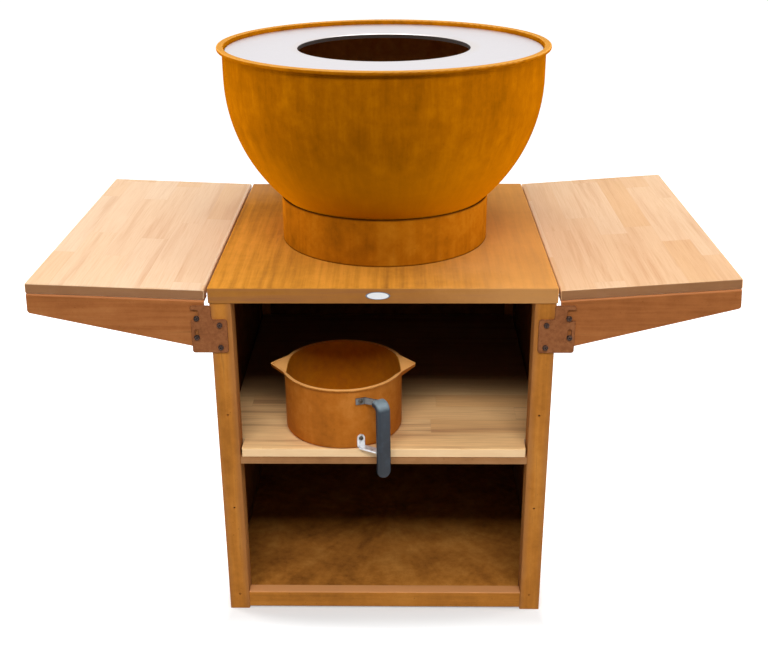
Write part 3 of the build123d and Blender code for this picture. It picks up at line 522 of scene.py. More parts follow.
@dataclass(frozen=True)
class StileRust(CabinetRust):
    """Rust on the stiles, greyer along both edges."""

    middle: float = 0.2805
    grey: Colour = paint(158, 106, 66)
    grey_share: float = 0.6
    grey_span: Span = (0.006, 0.021)
    wander: float = 0.02

    def local(self, graph: Graph, place: Signal, colour: Signal, patches: Signal) -> Signal:
        """Grey the edges, more where the patches are light.

        Args:
            graph: The material's tree.
            place: Point on the piece.
            colour: The rust's colour so far.
            patches: Noise of the large patches.

        Returns:
            The changed colour.
        """
        aside = abs(abs(place.part(0)) - self.middle) + (patches - 0.5) * self.wander
        greyed = graph.smooth(aside, *self.grey_span) * self.grey_share
        return graph.mix(greyed, colour, self.grey)


@dataclass(frozen=True)
class TopRust(CabinetRust):
    """Rust on the cabinet's top, paler towards the right and stained at the back."""

    right_tone: Colour = paint(214, 156, 94)
    right_tone_span: Span = (0.0, 0.24)
    right_tone_share: float = 0.55
    stain: Colour = paint(176, 130, 86)
    stain_span: Span = (0.22, 0.46)
    stain_share: float = 0.6
    stain_slope: float = 0.5
    wander: float = 0.3

    def local(self, graph: Graph, place: Signal, colour: Signal, patches: Signal) -> Signal:
        """Make the right half paler and stain the rear left corner.

        Args:
            graph: The material's tree.
            place: Point on the piece.
            colour: The rust's colour so far.
            patches: Noise of the large patches.

        Returns:
            The changed colour.
        """
        drift = (patches - 0.5) * self.wander
        right = graph.smooth(place.part(0) + drift, *self.right_tone_span)
        colour = graph.mix(right * self.right_tone_share, colour, self.right_tone)
        behind = place.part(1) - place.part(0) * self.stain_slope + drift
        corner = graph.smooth(behind, *self.stain_span) * (1.0 - right)
        return graph.mix(corner * self.stain_share, colour, self.stain)


@dataclass(frozen=True)
class TurnedRust(Rust):
    """Rust on a round piece, with streaks that run down its wall."""

    axis: tuple[float, float] = (0.0, 0.0)
    radius: float = 0.3
    drawn_out: float = 0.06
    burnt_from: float = 0.0
    burnt_below: float = 10.0
    burnt_share: float = 0.92
    shadow_lines: tuple[float, ...] = ()
    shadow_line_width: float = 0.004
    shadow_line_share: float = 0.85
    # Colour of painted light on the lower wall.
    glow: Colour | None = None
    painted_light_span: Span = (1.0, 0.7)
    painted_light_share: float = 0.6
    INWARD: ClassVar[float] = 0.002

    def flow(self, graph: Graph, place: Signal) -> Signal:
        """The point on a plain cylinder, drawn out upward."""
        round_wall = graph.vector("NORMALIZE", graph.outward(place, self.axis)) * self.radius
        return round_wall + place * (0.0, 0.0, self.drawn_out)

    def local(self, graph: Graph, place: Signal, colour: Signal, patches: Signal) -> Signal:
        """Paint light on the wall towards its foot and paint shadow along the lines where it meets
        other parts.

        Args:
            graph: The material's tree.
            place: Point on the piece.
            colour: The rust's colour so far.
            patches: Noise of the large patches.

        Returns:
            The changed colour.
        """
        height = place.part(2)
        # painted light: the wall is painted paler towards its foot, which faces down
        if self.glow is not None:
            lit = graph.smooth(height, *self.painted_light_span) * self.painted_light_share
            colour = graph.mix(lit, colour, self.glow)
        # painted shadow: dark lines where the piece meets its neighbours
        for shadow_line in self.shadow_lines:
            painted_shadow = graph.smooth(abs(height - shadow_line), self.shadow_line_width * (0.5 + patches), 0.0)
            colour = graph.mix(painted_shadow * self.shadow_line_share, colour, self.pit)
        return colour

    def inside_tone_and_shade(self, graph: Graph, place: Signal) -> Signal | None:
        """Mask of the inside, which fire or cooking has darkened.

        Args:
            graph: The material's tree.
            place: Point on the piece.

        Returns:
            The mask.
        """
        outward = graph.outward(place, self.axis)
        lean = graph.vector("DOT_PRODUCT", outward, graph.facing(), output="Value")
        inside = (lean < self.INWARD) * (graph.length(outward) < self.burnt_from)
        return inside * (place.part(2) < self.burnt_below) * self.burnt_share


@dataclass(frozen=True)
class Staves(Finish):
    """Oiled board that is glued up from short staves."""

    along: int = 1
    across: int = 0
    width: float = 0.052
    length: float = 0.36
    cream: Colour = paint(221, 186, 149)
    peach: Colour = paint(216, 174, 131)
    honey: Colour = paint(210, 160, 104)
    vein: Colour = paint(194, 142, 98)
    end: Colour = paint(152, 102, 58)
    end_vein: Colour = paint(124, 78, 42)
    end_axis: int = 1
    grain: float = 1.0
    end_share: float = 0.92
    shade_depth: Span | None = None
    painted_shadow_tone: Colour = paint(104, 70, 40)
    painted_shadow_share: float = 0.8
    figure_scale: float = 46.0
    figure_stretch: float = 0.05
    fibre_scale: float = 520.0
    fibre_stretch: float = 0.02
    pore_scale: float = 900.0
    pore_stretch: float = 0.03
    ring_count: float = 60.0
    ring_phase: float = 6.3
    grime_scale: float = 60.0
    grime_run: tuple[float, float, float] = (0.3, 1.0, 1.0)
    glue_line: float = 0.0009
    stagger: float = 7.0
    shift: float = 3.7
    honey_share: float = 0.5
    pore_share: float = 0.2
    joint_share: float = 0.2
    relief: float = 0.00025
    roughness: float = 0.52
    shine: float = 0.25
    HONEY_SPAN: ClassVar[Span] = (0.5, 1.0)
    FIGURE_SPAN: ClassVar[Span] = (0.48, 0.78)
    FIBRE_SPAN: ClassVar[Span] = (0.42, 0.72)
    PORE_SPAN: ClassVar[Span] = (0.64, 0.72)
    END_SPAN: ClassVar[Span] = (0.78, 0.96)
    VEIN_SHARES: ClassVar[Shares] = (0.5, 0.08, 0.22)
    RELIEF_SHARES: ClassVar[Shares] = (0.4, 0.15, -0.5, -0.5)
    ROUGH_SHARES: ClassVar[Shares] = (0.3, 0.15)

    def shade(self, graph: Graph) -> None:
        """Lay out the staves, give each its tone, grain and pores, and paint shadow over the back
        where a span is given.

        Args:
            graph: The material's empty tree.
        """
        place = graph.place()
        across = place.part(self.across) / self.width
        column = math.floor(across)
        shuffle = self.chance(graph, column, 0.0)
        along = place.part(self.along) / self.length + shuffle.part(0) * self.stagger
        luck = self.chance(graph, column, math.floor(along))
        tone = graph.mix(luck.part(0), self.cream, self.peach)
        sweet = graph.smooth(luck.part(1), *self.HONEY_SPAN)
        tone = graph.mix(sweet * self.honey_share, tone, self.honey)
        figure_place = self.drawn(place, luck, self.figure_stretch)
        figure = graph.noise(figure_place, self.figure_scale, detail=3.0, rough=0.5)
        phase = figure * self.ring_count + luck.part(2) * self.ring_phase
        rings = graph.math("SINE", phase) * 0.5 + 0.5
        fibre_place = self.drawn(place, luck, self.fibre_stretch)
        fibre = graph.noise(fibre_place, self.fibre_scale, detail=3.0)
        pore_place = self.drawn(place, luck, self.pore_stretch)
        pores = graph.noise(pore_place, self.pore_scale, detail=2.0)
        pores = graph.smooth(pores, *self.PORE_SPAN)
        broad = graph.smooth(figure, *self.FIGURE_SPAN)
        fine = graph.smooth(fibre, *self.FIBRE_SPAN)
        veins = weighed(self.VEIN_SHARES, broad, rings, fine)
        joint = self.joint(graph, across, along)
        colour = tone
        for mark in (veins * self.grain, pores * self.pore_share, joint * self.joint_share):
            colour = graph.mix(mark, colour, self.vein)
        end_face = graph.smooth(abs(graph.facing().part(self.end_axis)), *self.END_SPAN)
        grime = graph.noise(place * self.grime_run, self.grime_scale)
        end_colour = graph.mix(grime, self.end, self.end_vein)
        colour = graph.mix(end_face * self.end_share, colour, end_colour)
        # painted shadow: the board darkens towards its back, where the part above shades it
        if self.shade_depth is not None:
            depth = graph.smooth(place.part(1), *self.shade_depth)
            colour = graph.mix(depth * self.painted_shadow_share, colour, self.painted_shadow_tone)
        height = weighed(self.RELIEF_SHARES, fibre, rings, pores, joint)
        graph.surface(
            {
                "Base Color": colour,
                "Roughness": self.roughness + weighed(self.ROUGH_SHARES, fibre - 0.5, pores),
                "Specular IOR Level": self.shine,
                "Normal": graph.bump(height, self.relief),
            }
        )

    def chance(self, graph: Graph, column: Signal, row: Source) -> Signal:
        """Three chance values for one stave.

        Args:
            graph: The material's tree.
            column: Number of the stave across the board.
            row: Number of the stave along the board.

        Returns:
            The values as a vector.
        """
        cell = graph.add("ShaderNodeCombineXYZ", {0: column, 1: row, 2: float(self.along)})
        drawn = graph.add("ShaderNodeTexWhiteNoise", {"Vector": cell}, "Color")
        return graph.vector("MULTIPLY", drawn, 1.0)

    def drawn(self, place: Signal, luck: Signal, stretch: float) -> Signal:
        """The point drawn out along the grain, shifted from stave to stave.

        Args:
            place: Point on the board.
            luck: Chance values of the stave.
            stretch: Scale along the grain.

        Returns:
            The shifted point.
        """
        scale = [1.0, 1.0, 1.0]
        scale[self.along] = stretch
        return place * scale + luck * self.shift

    def joint(self, graph: Graph, across: Signal, along: Signal) -> Signal:
        """Mask of the thin glue lines between staves.

        Args:
            graph: The material's tree.
            across: Place across the board, in staves.
            along: Place along the board, in staves.

        Returns:
            The mask.
        """
        beside = abs(across - math.floor(across) - 0.5)
        beyond = abs(along - math.floor(along) - 0.5)
        side = graph.smooth(beside, 0.5 - self.glue_line / self.width, 0.5)
        return side | graph.smooth(beyond, 0.5 - self.glue_line / self.length, 0.5)


@dataclass(frozen=True)
class GroundSteel(Finish):
    """Bright cooking plate, ground in rings and oiled."""

    axis: tuple[float, float] = (0.0, -0.025)
    body: Colour = paint(221, 217, 220)
    shade_colour: Colour = paint(206, 202, 205)
    warm: Colour = paint(214, 202, 190)
    soot: Colour = paint(34, 18, 7)
    hole_radius: float = 0.158
    heat_width: float = 0.02
    heat_wander: float = 0.03
    heat_share: float = 0.35
    wall_reach: float = 0.005
    mark_scale: float = 900.0
    mark_length: float = 0.02
    cloud_scale: float = 9.0
    roughness: float = 0.34
    relief: float = 0.00004
    WALL_SPAN: ClassVar[Span] = (0.6, 0.3)
    SHADE_SHARES: ClassVar[Shares] = (0.35, 0.25)
    ROUGH_SHARES: ClassVar[Shares] = (0.18, 0.06, 0.5)

    def shade(self, graph: Graph) -> None:
        """Draw the grinding marks round the plate's middle and warm the edge of the hole.

        Args:
            graph: The material's empty tree.
        """
        place = graph.place()
        outward = graph.outward(place, self.axis)
        reach = graph.length(outward)
        turn = graph.vector("NORMALIZE", outward) * self.mark_length
        rings = graph.add("ShaderNodeCombineXYZ", {0: reach, 1: turn.part(0), 2: turn.part(1)})
        marks = graph.noise(rings, self.mark_scale, detail=3.0)
        cloud = graph.noise(place, self.cloud_scale)
        shading = weighed(self.SHADE_SHARES, marks, cloud)
        colour = graph.mix(shading, self.body, self.shade_colour)
        wandering = reach + (cloud - 0.5) * self.heat_wander
        heat = graph.smooth(wandering, self.hole_radius + self.heat_width, self.hole_radius)
        colour = graph.mix(heat * self.heat_share, colour, self.warm)
        sooty = graph.smooth(graph.facing().part(2), *self.WALL_SPAN)
        sooty = sooty * (reach < self.hole_radius + self.wall_reach)
        colour = graph.mix(sooty, colour, self.soot)
        unevenness = weighed(self.ROUGH_SHARES, marks - 0.5, cloud, sooty)
        graph.surface(
            {
                "Base Color": colour,
                "Metallic": 1.0 - sooty,
                "Roughness": self.roughness + unevenness,
                "Normal": graph.bump(marks, self.relief),
            }
        )


@dataclass(frozen=True)
class FastenerSteel(Finish):
    """Blackened bolts and nuts with a bloom of rust."""

    black: Colour = paint(40, 30, 26)
    rust: Colour = paint(92, 50, 26)
    bright: Colour = paint(168, 150, 138)
    rust_share: float = 0.45
    bright_share: float = 0.6
    bloom_scale: float = 260.0
    grain_scale: float = 1500.0
    wear_reach: float = 0.0006
    metal: float = 0.85
    roughness: float = 0.36
    relief: float = 0.00006
    BLOOM_SPAN: ClassVar[Span] = (0.42, 0.62)
    ROUGH_SHARES: ClassVar[Shares] = (0.5, 0.15)

    def shade(self, graph: Graph) -> None:
        """Rust the flats and brighten the edges.

        Args:
            graph: The material's empty tree.
        """
        place = graph.place()
        bloom = graph.noise(place, self.bloom_scale)
        grain = graph.noise(place, self.grain_scale, detail=2.0)
        rusted = graph.smooth(bloom, *self.BLOOM_SPAN) * self.rust_share
        colour = graph.mix(rusted, self.black, self.rust)
        worn = graph.wear(self.wear_reach) * (1.0 - rusted)
        colour = graph.mix(worn * self.bright_share, colour, self.bright)
        graph.surface(
            {
                "Base Color": colour,
                "Metallic": self.metal - rusted,
                "Roughness": self.roughness + weighed(self.ROUGH_SHARES, rusted, grain - 0.5),
                "Normal": graph.bump(grain, self.relief),
            }
        )


@dataclass(frozen=True)
class HandleSteel(Finish):
    """Drawn bright steel of the pot's handle."""

    bright: Colour = paint(222, 222, 224)
    dull: Colour = paint(150, 150, 154)
    roughness: float = 0.4
    metal: float = 0.55
    mark_scale: float = 1100.0
    mark_stretch: float = 0.1
    smear_scale: float = 90.0
    wear_reach: float = 0.0006
    wear_share: float = 0.5
    relief: float = 0.00003
    SMEAR_SPAN: ClassVar[Span] = (0.4, 0.75)
    ROUGH_SHARES: ClassVar[Shares] = (0.16, 0.1)

    def shade(self, graph: Graph) -> None:
        """Add draw marks, smears and a worn edge.

        Args:
            graph: The material's empty tree.
        """
        place = graph.place()
        drawn = place * (1.0, 1.0, self.mark_stretch)
        marks = graph.noise(drawn, self.mark_scale, detail=2.0)
        smears = graph.noise(place, self.smear_scale)
        dulled = graph.smooth(smears, *self.SMEAR_SPAN)
        colour = graph.mix(dulled, self.bright, self.dull)
        worn = graph.wear(self.wear_reach) * self.wear_share
        colour = graph.mix(worn, colour, self.bright)
        graph.surface(
            {
                "Base Color": colour,
                "Metallic": self.metal,
                "Roughness": self.roughness + weighed(self.ROUGH_SHARES, smears, marks - 0.5),
                "Normal": graph.bump(marks, self.relief),
            }
        )


@dataclass(frozen=True)
class GripPlastic(Finish):
    """Moulded grey-blue plastic with a fine skin."""

    body: Colour = paint(10, 18, 28)
    rubbed: Colour = paint(42, 54, 66)
    # Colour of the painted highlight on faces that look up.
    crown: Colour = paint(132, 148, 156)
    top_highlight_share: float = 0.8
    rubbed_share: float = 0.4
    rubbed_heights: Span = (0.36, 0.45)
    stipple_scale: float = 1300.0
    handling_scale: float = 60.0
    roughness: float = 0.42
    shine: float = 0.35
    relief: float = 0.00008
    HANDLING_SPAN: ClassVar[Span] = (0.45, 0.7)
    TOP_HIGHLIGHT_SPAN: ClassVar[Span] = (0.1, 0.8)
    ROUGH_SHARES: ClassVar[Shares] = (0.2, 0.1)

    def shade(self, graph: Graph) -> None:
        """Add the skin's stipple, lighter rubbed patches and a lighter band high up, and paint a
        highlight on the faces that look up.

        Args:
            graph: The material's empty tree.
        """
        place = graph.place()
        stipple = graph.noise(place, self.stipple_scale, detail=2.0)
        handling = graph.noise(place, self.handling_scale)
        colour = self.body
        rubbing = graph.smooth(handling, *self.HANDLING_SPAN)
        for worn in (rubbing, graph.smooth(place.part(2), *self.rubbed_heights)):
            colour = graph.mix(worn * self.rubbed_share, colour, self.rubbed)
        # painted highlight: faces that look up are painted pale grey
        upward = graph.smooth(graph.facing().part(2), *self.TOP_HIGHLIGHT_SPAN)
        colour = graph.mix(upward * self.top_highlight_share, colour, self.crown)
        unevenness = weighed(self.ROUGH_SHARES, stipple - 0.5, handling)
        graph.surface(
            {
                "Base Color": colour,
                "Roughness": self.roughness + unevenness,
                "Specular IOR Level": self.shine,
                "Normal": graph.bump(stipple, self.relief),
            }
        )


@dataclass(frozen=True)
class Enamel(Finish):
    """Blank white oval with a thin grey border."""

    middle: tuple[float, float] = (-0.008, 0.652)
    half_size: tuple[float, float] = (0.021, 0.007)
    white: Colour = paint(236, 238, 240)
    border: Colour = paint(98, 108, 122)
    dust_colour: Colour = paint(190, 160, 120)
    dust_share: float = 0.2
    dust_scale: float = 420.0
    roughness: float = 0.3
    relief: float = 0.00005
    BORDER_SPAN: ClassVar[Span] = (0.74, 0.82)
    DUST_SPAN: ClassVar[Span] = (0.55, 0.8)
    DUST_ROUGHNESS: ClassVar[float] = 0.15

    def shade(self, graph: Graph) -> None:
        """Draw the border along the oval's edge and dust the face.

        Args:
            graph: The material's empty tree.
        """
        place = graph.place()
        wide = (place.part(0) - self.middle[0]) / self.half_size[0]
        high = (place.part(2) - self.middle[1]) / self.half_size[1]
        edge = graph.smooth(wide * wide + high * high, *self.BORDER_SPAN)
        dust = graph.noise(place, self.dust_scale)
        colour = graph.mix(edge, self.white, self.border)
        dusty = graph.smooth(dust, *self.DUST_SPAN) * self.dust_share
        colour = graph.mix(dusty, colour, self.dust_colour)
        graph.surface(
            {
                "Base Color": colour,
                "Roughness": self.roughness + dust * self.DUST_ROUGHNESS,
                "Normal": graph.bump(dust, self.relief),
            }
        )


class Recess(Enum):
    """What is cut into a fastener's head."""

    HEX = "hex"
    STAR = "star"
    DIMPLE = "dimple"


@dataclass(frozen=True)
class Solid:
    """One measured solid of a fastener node."""

    foot: Vector
    crown: Vector
    radius: float
    shank: float

    @property
    def facing(self) -> Vector:
        """Direction from the foot to the crown."""
        return (self.crown - self.foot).normalized()

    @property
    def length(self) -> float:
        """Distance from the foot to the crown."""
        return (self.crown - self.foot).length


def solids_of(node: str, facing: Facing) -> list[Solid]:
    """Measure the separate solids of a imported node.

    Args:
        node: The node's name.
        facing: Gives the direction that the head at a point faces.

    Returns:
        Each solid's ends and radii.
    """
    mesh = frame["nodes"][node].data
    corners = [tuple(round(c, DIGITS) for c in vertex.co) for vertex in mesh.vertices]
    chief = {corner: corner for corner in corners}

    def head_of(corner: Corner) -> Corner:
        """Follow the chain to the corner that stands for its solid.

        Args:
            corner: Any corner of the solid.

        Returns:
            The corner that stands for it.
        """
        while chief[corner] != corner:
            chief[corner] = chief[chief[corner]]
            corner = chief[corner]
        return corner

    for polygon in mesh.polygons:
        first, *others = (head_of(corners[number]) for number in polygon.vertices)
        for other in others:
            chief[head_of(other)] = head_of(first)
    groups: dict[Corner, list[Vector]] = {}
    for corner in chief:
        groups.setdefault(head_of(corner), []).append(Vector(corner))
    return [measured(points, facing) for _, points in sorted(groups.items())]


def measured(points: Sequence[Vector], facing: Facing) -> Solid:
    """Measure one solid along the way that it faces.

    Args:
        points: Its corners.
        facing: Gives the direction at its middle.

    Returns:
        The measured solid.
    """
    low = Vector([min(p[axis] for p in points) for axis in range(3)])
    high = Vector([max(p[axis] for p in points) for axis in range(3)])
    middle = (low + high) / 2
    direction = facing(middle).normalized()
    heights = [(p - middle).dot(direction) for p in points]
    reaches = [(p - middle - direction * h).length for p, h in zip(points, heights)]
    return Solid(
        foot=middle + direction * min(heights),
        crown=middle + direction * max(heights),
        radius=max(reaches),
        shank=min(r for r in reaches if r > LEAST_SHANK),
    )


class Turning:
    """A mesh made of closed rings round an axis, joined one to the next."""

    SEGMENTS = 48

    def __init__(self) -> None:
        """Start with no corners and no faces."""
        self.corners: list[Vector] = []
        self.faces: list[tuple[int, ...]] = []

    def turn(self, matrix: Matrix, rings: Sequence[Ring], closed: bool) -> None:
        """Add one turned solid.

        Args:
            matrix: Places the solid; its Z is the axis.
            rings: Height and outline of each ring, from the inside of the crown to the foot.
            closed: Whether the last ring joins the first instead of both being capped.
        """
        start = len(self.corners)
        count = self.SEGMENTS
        for height, outline in rings:
            for step in range(count):
                angle = math.tau * step / count
                reach = outline(angle)
                spot = Vector((reach * math.cos(angle), reach * math.sin(angle), height))
                self.corners.append(matrix @ spot)
        last = len(rings) if closed else len(rings) - 1
        for ring in range(last):
            here = start + ring * count
            next_ring = start + (ring + 1) % len(rings) * count
            for step in range(count):
                beside = (step + 1) % count
                face = (here + step, next_ring + step, next_ring + beside, here + beside)
                self.faces.append(face)
        if not closed:
            self.faces.append(tuple(start + step for step in range(count)))
            end = start + (len(rings) - 1) * count
            self.faces.append(tuple(end + step for step in reversed(range(count))))

    def piece(self, name: str, material: bpy.types.Material, sharp: float) -> bpy.types.Object:
        """Make the object.

        Args:
            name: Its name.
            material: Its finish.
            sharp: Angle in degrees above which an edge stays sharp.

        Returns:
            The object, linked to the scene.
        """
        mesh = bpy.data.meshes.new(name)
        mesh.from_pydata([tuple(corner) for corner in self.corners], [], self.faces)
        mesh.validate()
        mesh.materials.append(material)
        mesh.shade_smooth()
        mesh.set_sharp_from_angle(angle=math.radians(sharp))
        return placed(name, mesh)


def circle(radius: float) -> Outline:
    """Outline of a round ring."""
    return lambda angle: radius


def hexagon(flat: float) -> Outline:
    """Outline of a hexagon, by half its width across flats."""
    sixth = math.tau / 6
    return lambda angle: flat / math.cos((angle % sixth) - sixth / 2)


def star(radius: float, depth: float = 0.14) -> Outline:
    """Outline of a six-lobed drive, by its radius and the share that its lobes take."""
    return lambda angle: radius * (1.0 - depth + depth * math.cos(6 * angle))


def upright(solid: Solid) -> Matrix:
    """Matrix that stands a turned solid on its foot, facing its own way."""
    turn = solid.facing.to_track_quat("Z", "Y").to_matrix().to_4x4()
    return Matrix.Translation(solid.foot) @ turn


@dataclass(frozen=True)
class Fasteners:
    """The fasteners of one node, turned anew to stand for it."""

    node: str
    finish: Finish
    facing: Facing
    slot: str = "fastener_steel"
    CLOSED: ClassVar[bool] = False
    SHARP: ClassVar[float] = 35.0

    def build(self) -> None:
        """Turn every solid and let the new piece stand for the node."""
        turning = Turning()
        for solid in solids_of(self.node, self.facing):
            turning.turn(upright(solid), self.rings(solid), self.CLOSED)
        piece = turning.piece(f"{self.node}_cut", self.finish.material(), self.SHARP)
        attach(piece, frame["nodes"][self.node]["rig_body"])
        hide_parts(self.node)
        LOG.info("%s cut", piece.name)

    def rings(self, solid: Solid) -> list[Ring]:
        """Height and outline of each ring; each kind of fastener has its own."""
        raise NotImplementedError


@dataclass(frozen=True)
class Bolts(Fasteners):
    """Bolts with a domed head and a hexagon socket."""

    head: float = 0.0034
    recess: Recess = Recess.HEX
    recess_radius: float = 0.0019
    recess_depth: float = 0.0019
    tail: float = 0.0
    threads: int = 5
    thread_pitch: float = 0.001
    thread_root: float = 0.9
    point_share: float = 0.78
    recess_fillet: float = 0.0001
    recess_mouth: float = 0.0002
    RECESS_SCALES: ClassVar[Shares] = (0.9, 0.98, 1.0, 1.06)
    TAIL: ClassVar[tuple[Span, ...]] = ((0.96, 1.0), (1.0, 0.35), (0.8, 0.0))
    DOME: ClassVar[tuple[Span, ...]] = (
        (0.62, 1.0),
        (0.80, 0.94),
        (0.92, 0.80),
        (0.98, 0.58),
        (1.0, 0.30),
        (1.0, 0.0),
    )

    def drive(self, scale: float) -> Outline:
        """Outline of the recess, at a scale."""
        outlines = {Recess.HEX: hexagon, Recess.STAR: star, Recess.DIMPLE: circle}
        return outlines[self.recess](self.recess_radius * scale)

    def rings(self, solid: Solid) -> list[Ring]:
        """Rings from the floor of the recess over the head and down the shank.

        Args:
            solid: The measured solid.

        Returns:
            Height and outline of each ring.
        """
        top = solid.length
        seat = top - self.head
        floor = top - self.recess_depth
        heights = (floor, floor + self.recess_fillet, top - self.recess_mouth, top)
        rings = [(z, self.drive(scale)) for z, scale in zip(heights, self.RECESS_SCALES)]
        for share, rise in self.DOME:
            rings.append((seat + rise * self.head, circle(share * solid.radius)))
        rings.append((seat, circle(solid.shank)))
        return rings + (self.set_tail(solid) if self.tail else self.thread(solid))

    def set_tail(self, solid: Solid) -> list[Ring]:
        """Rings of the shank and of a tail that is spread behind the sheet.

        Args:
            solid: The measured solid.

        Returns:
            Height and outline of each ring.
        """
        rings = [(self.tail, circle(solid.shank))]
        for share, rise in self.TAIL:
            rings.append((self.tail * rise, circle(solid.radius * share)))
        return rings

    def thread(self, solid: Solid) -> list[Ring]:
        """Rings of the last turns of thread and of the pointed end.

        Args:
            solid: The measured solid.

        Returns:
            Height and outline of each ring.
        """
        rings: list[Ring] = []
        for number in range(self.threads, 0, -1):
            height = number * self.thread_pitch
            groove = circle(solid.shank * self.thread_root)
            rings.append((height + self.thread_pitch / 2, groove))
            rings.append((height, circle(solid.shank)))
        return rings + [(0.0, circle(solid.shank * self.point_share))]


@dataclass(frozen=True)
class Screws(Bolts):
    """Screws with a low head and a six-lobed drive."""

    head: float = 0.002
    recess: Recess = Recess.STAR
    recess_radius: float = 0.0016
    recess_depth: float = 0.0012


@dataclass(frozen=True)
class Rivets(Bolts):
    """Rivets with a low dimpled head and a set tail."""

    head: float = 0.002
    recess: Recess = Recess.DIMPLE
    recess_radius: float = 0.0011
    recess_depth: float = 0.0014
    tail: float = 0.0015


@dataclass(frozen=True)
class Nuts(Fasteners):
    """Chamfered hexagon nuts."""

    bore: float = 0.00305
    chamfer: float = 0.0006
    face_share: float = 0.96
    CLOSED: ClassVar[bool] = True
    SHARP: ClassVar[float] = 22.0

    def rings(self, solid: Solid) -> list[Ring]:
        """Rings round the nut, from its bore over one face, the flats and the other face.

        Args:
            solid: The measured nut.

        Returns:
            Height and outline of each ring.
        """
        flat = solid.radius * math.sqrt(3) / 2
        height = solid.length
        return [
            (height - self.chamfer, circle(self.bore)),
            (height, circle(self.bore + self.chamfer)),
            (height, circle(flat * self.face_share)),
            (height - self.chamfer, hexagon(flat)),
            (self.chamfer, hexagon(flat)),
            (0.0, circle(flat * self.face_share)),
            (0.0, circle(self.bore + self.chamfer)),
            (self.chamfer, circle(self.bore)),
        ]


def outward_x(middle: Vector) -> Vector:
    """Away from the cabinet's middle to its left or right."""
    return Vector((math.copysign(1.0, middle.x), 0.0, 0.0))


def outward_y(middle: Vector) -> Vector:
    """Away from the cabinet's middle to its front or back."""
    return Vector((0.0, math.copysign(1.0, middle.y), 0.0))


def dress(finish: Finish, *nodes: str) -> None:
    """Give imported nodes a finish.

    Args:
        finish: The finish.
        *nodes: Names of the nodes.
    """
    for node in nodes:
        frame["nodes"][node].material_slots[0].material = finish.material()
        LOG.info("%s: %s", node, finish.name)


class Hand(Enum):
    """The two sides of the cabinet."""

    RIGHT = "right"
    LEFT = "left"


BLACK_BOLT = FastenerSteel("black_bolt")


@dataclass
class Cabinet:
    """Sheet-steel carcass with its floor, shelf and badge."""

    screw_tail: float = 0.0015
    top: Rust = TopRust(
        "top_rust",
        dark=paint(150, 96, 36),
        body=paint(191, 127, 42),
        pale=paint(220, 148, 56),
        # painted shade on the top's upright lip
        upright_shade=paint(148, 97, 60),
        run=Run.ALONG_Y,
        lip_run=Run.ALONG_X,
        streak_scale=80.0,
        streak_share=0.45,
        contrast=1.25,
    )
    panel: Rust = CabinetRust("panel_rust", streak_share=0.12, contrast=1.3)
    stile: Rust = StileRust("stile_rust", run=Run.ALONG_Z, streak_share=0.25)
    level: Rust = CabinetRust("level_rust", run=Run.ALONG_X, streak_share=0.25)
    rail: Rust = CabinetRust(
        # painted highlight on the rail's top flange
        "rail_rust", painted_highlight=paint(214, 150, 98), run=Run.ALONG_X, streak_share=0.25
    )
    tray: Rust = CabinetRust(
        "tray_rust",
        dark=paint(128, 86, 54),
        body=paint(172, 122, 78),
        pale=paint(194, 146, 102),
        run=Run.ALONG_X,
        streak_share=0.25,
    )
    floor: Rust = CabinetRust("floor_rust", patch_scale=9.0, streak_share=0.1, contrast=1.5)
    shelf: Staves = Staves(
        "shelf_staves",
        along=0,
        across=1,
        cream=paint(255, 213, 152),
        peach=paint(248, 198, 136),
        honey=paint(232, 172, 106),
        end=paint(255, 220, 172),
        end_vein=paint(244, 200, 148),
        # painted shadow of the cabinet's top over the back of the shelf
        shade_depth=(-0.18, -0.045),
        grain=1.5,
    )
    badge: Enamel = Enamel("blank_badge")

    def build(self) -> None:
        """Dress the carcass and cut its bolts, screws and rivets."""
        dress(self.top, "top_panel")
        dress(self.panel, "left_side_panel", "right_side_panel", "back_panel")
        for hand in Hand:
            dress(self.stile, f"{hand.value}_front_stile", f"{hand.value}_rear_stile")
            dress(self.level, f"{hand.value}_shelf_angle")
        dress(self.rail, "front_rail")
        dress(self.tray, "shelf_tray")
        dress(self.floor, "floor_pan")
        dress(self.shelf, "shelf_board")
        dress(self.badge, "badge_plate")
        for group in self.fasteners():
            group.build()

    def fasteners(self) -> list[Fasteners]:
        """The bolts, nuts, screws and rivets in the carcass.

        Returns:
            One group for each node.
        """
        return [
            Bolts("bracket_bolts", BLACK_BOLT, outward_y),
            Nuts("bracket_nuts", BLACK_BOLT, outward_y),
            Screws("back_screws", BLACK_BOLT, outward_y, tail=self.screw_tail),
            Rivets("shelf_rivets", BLACK_BOLT, outward_x),
        ]


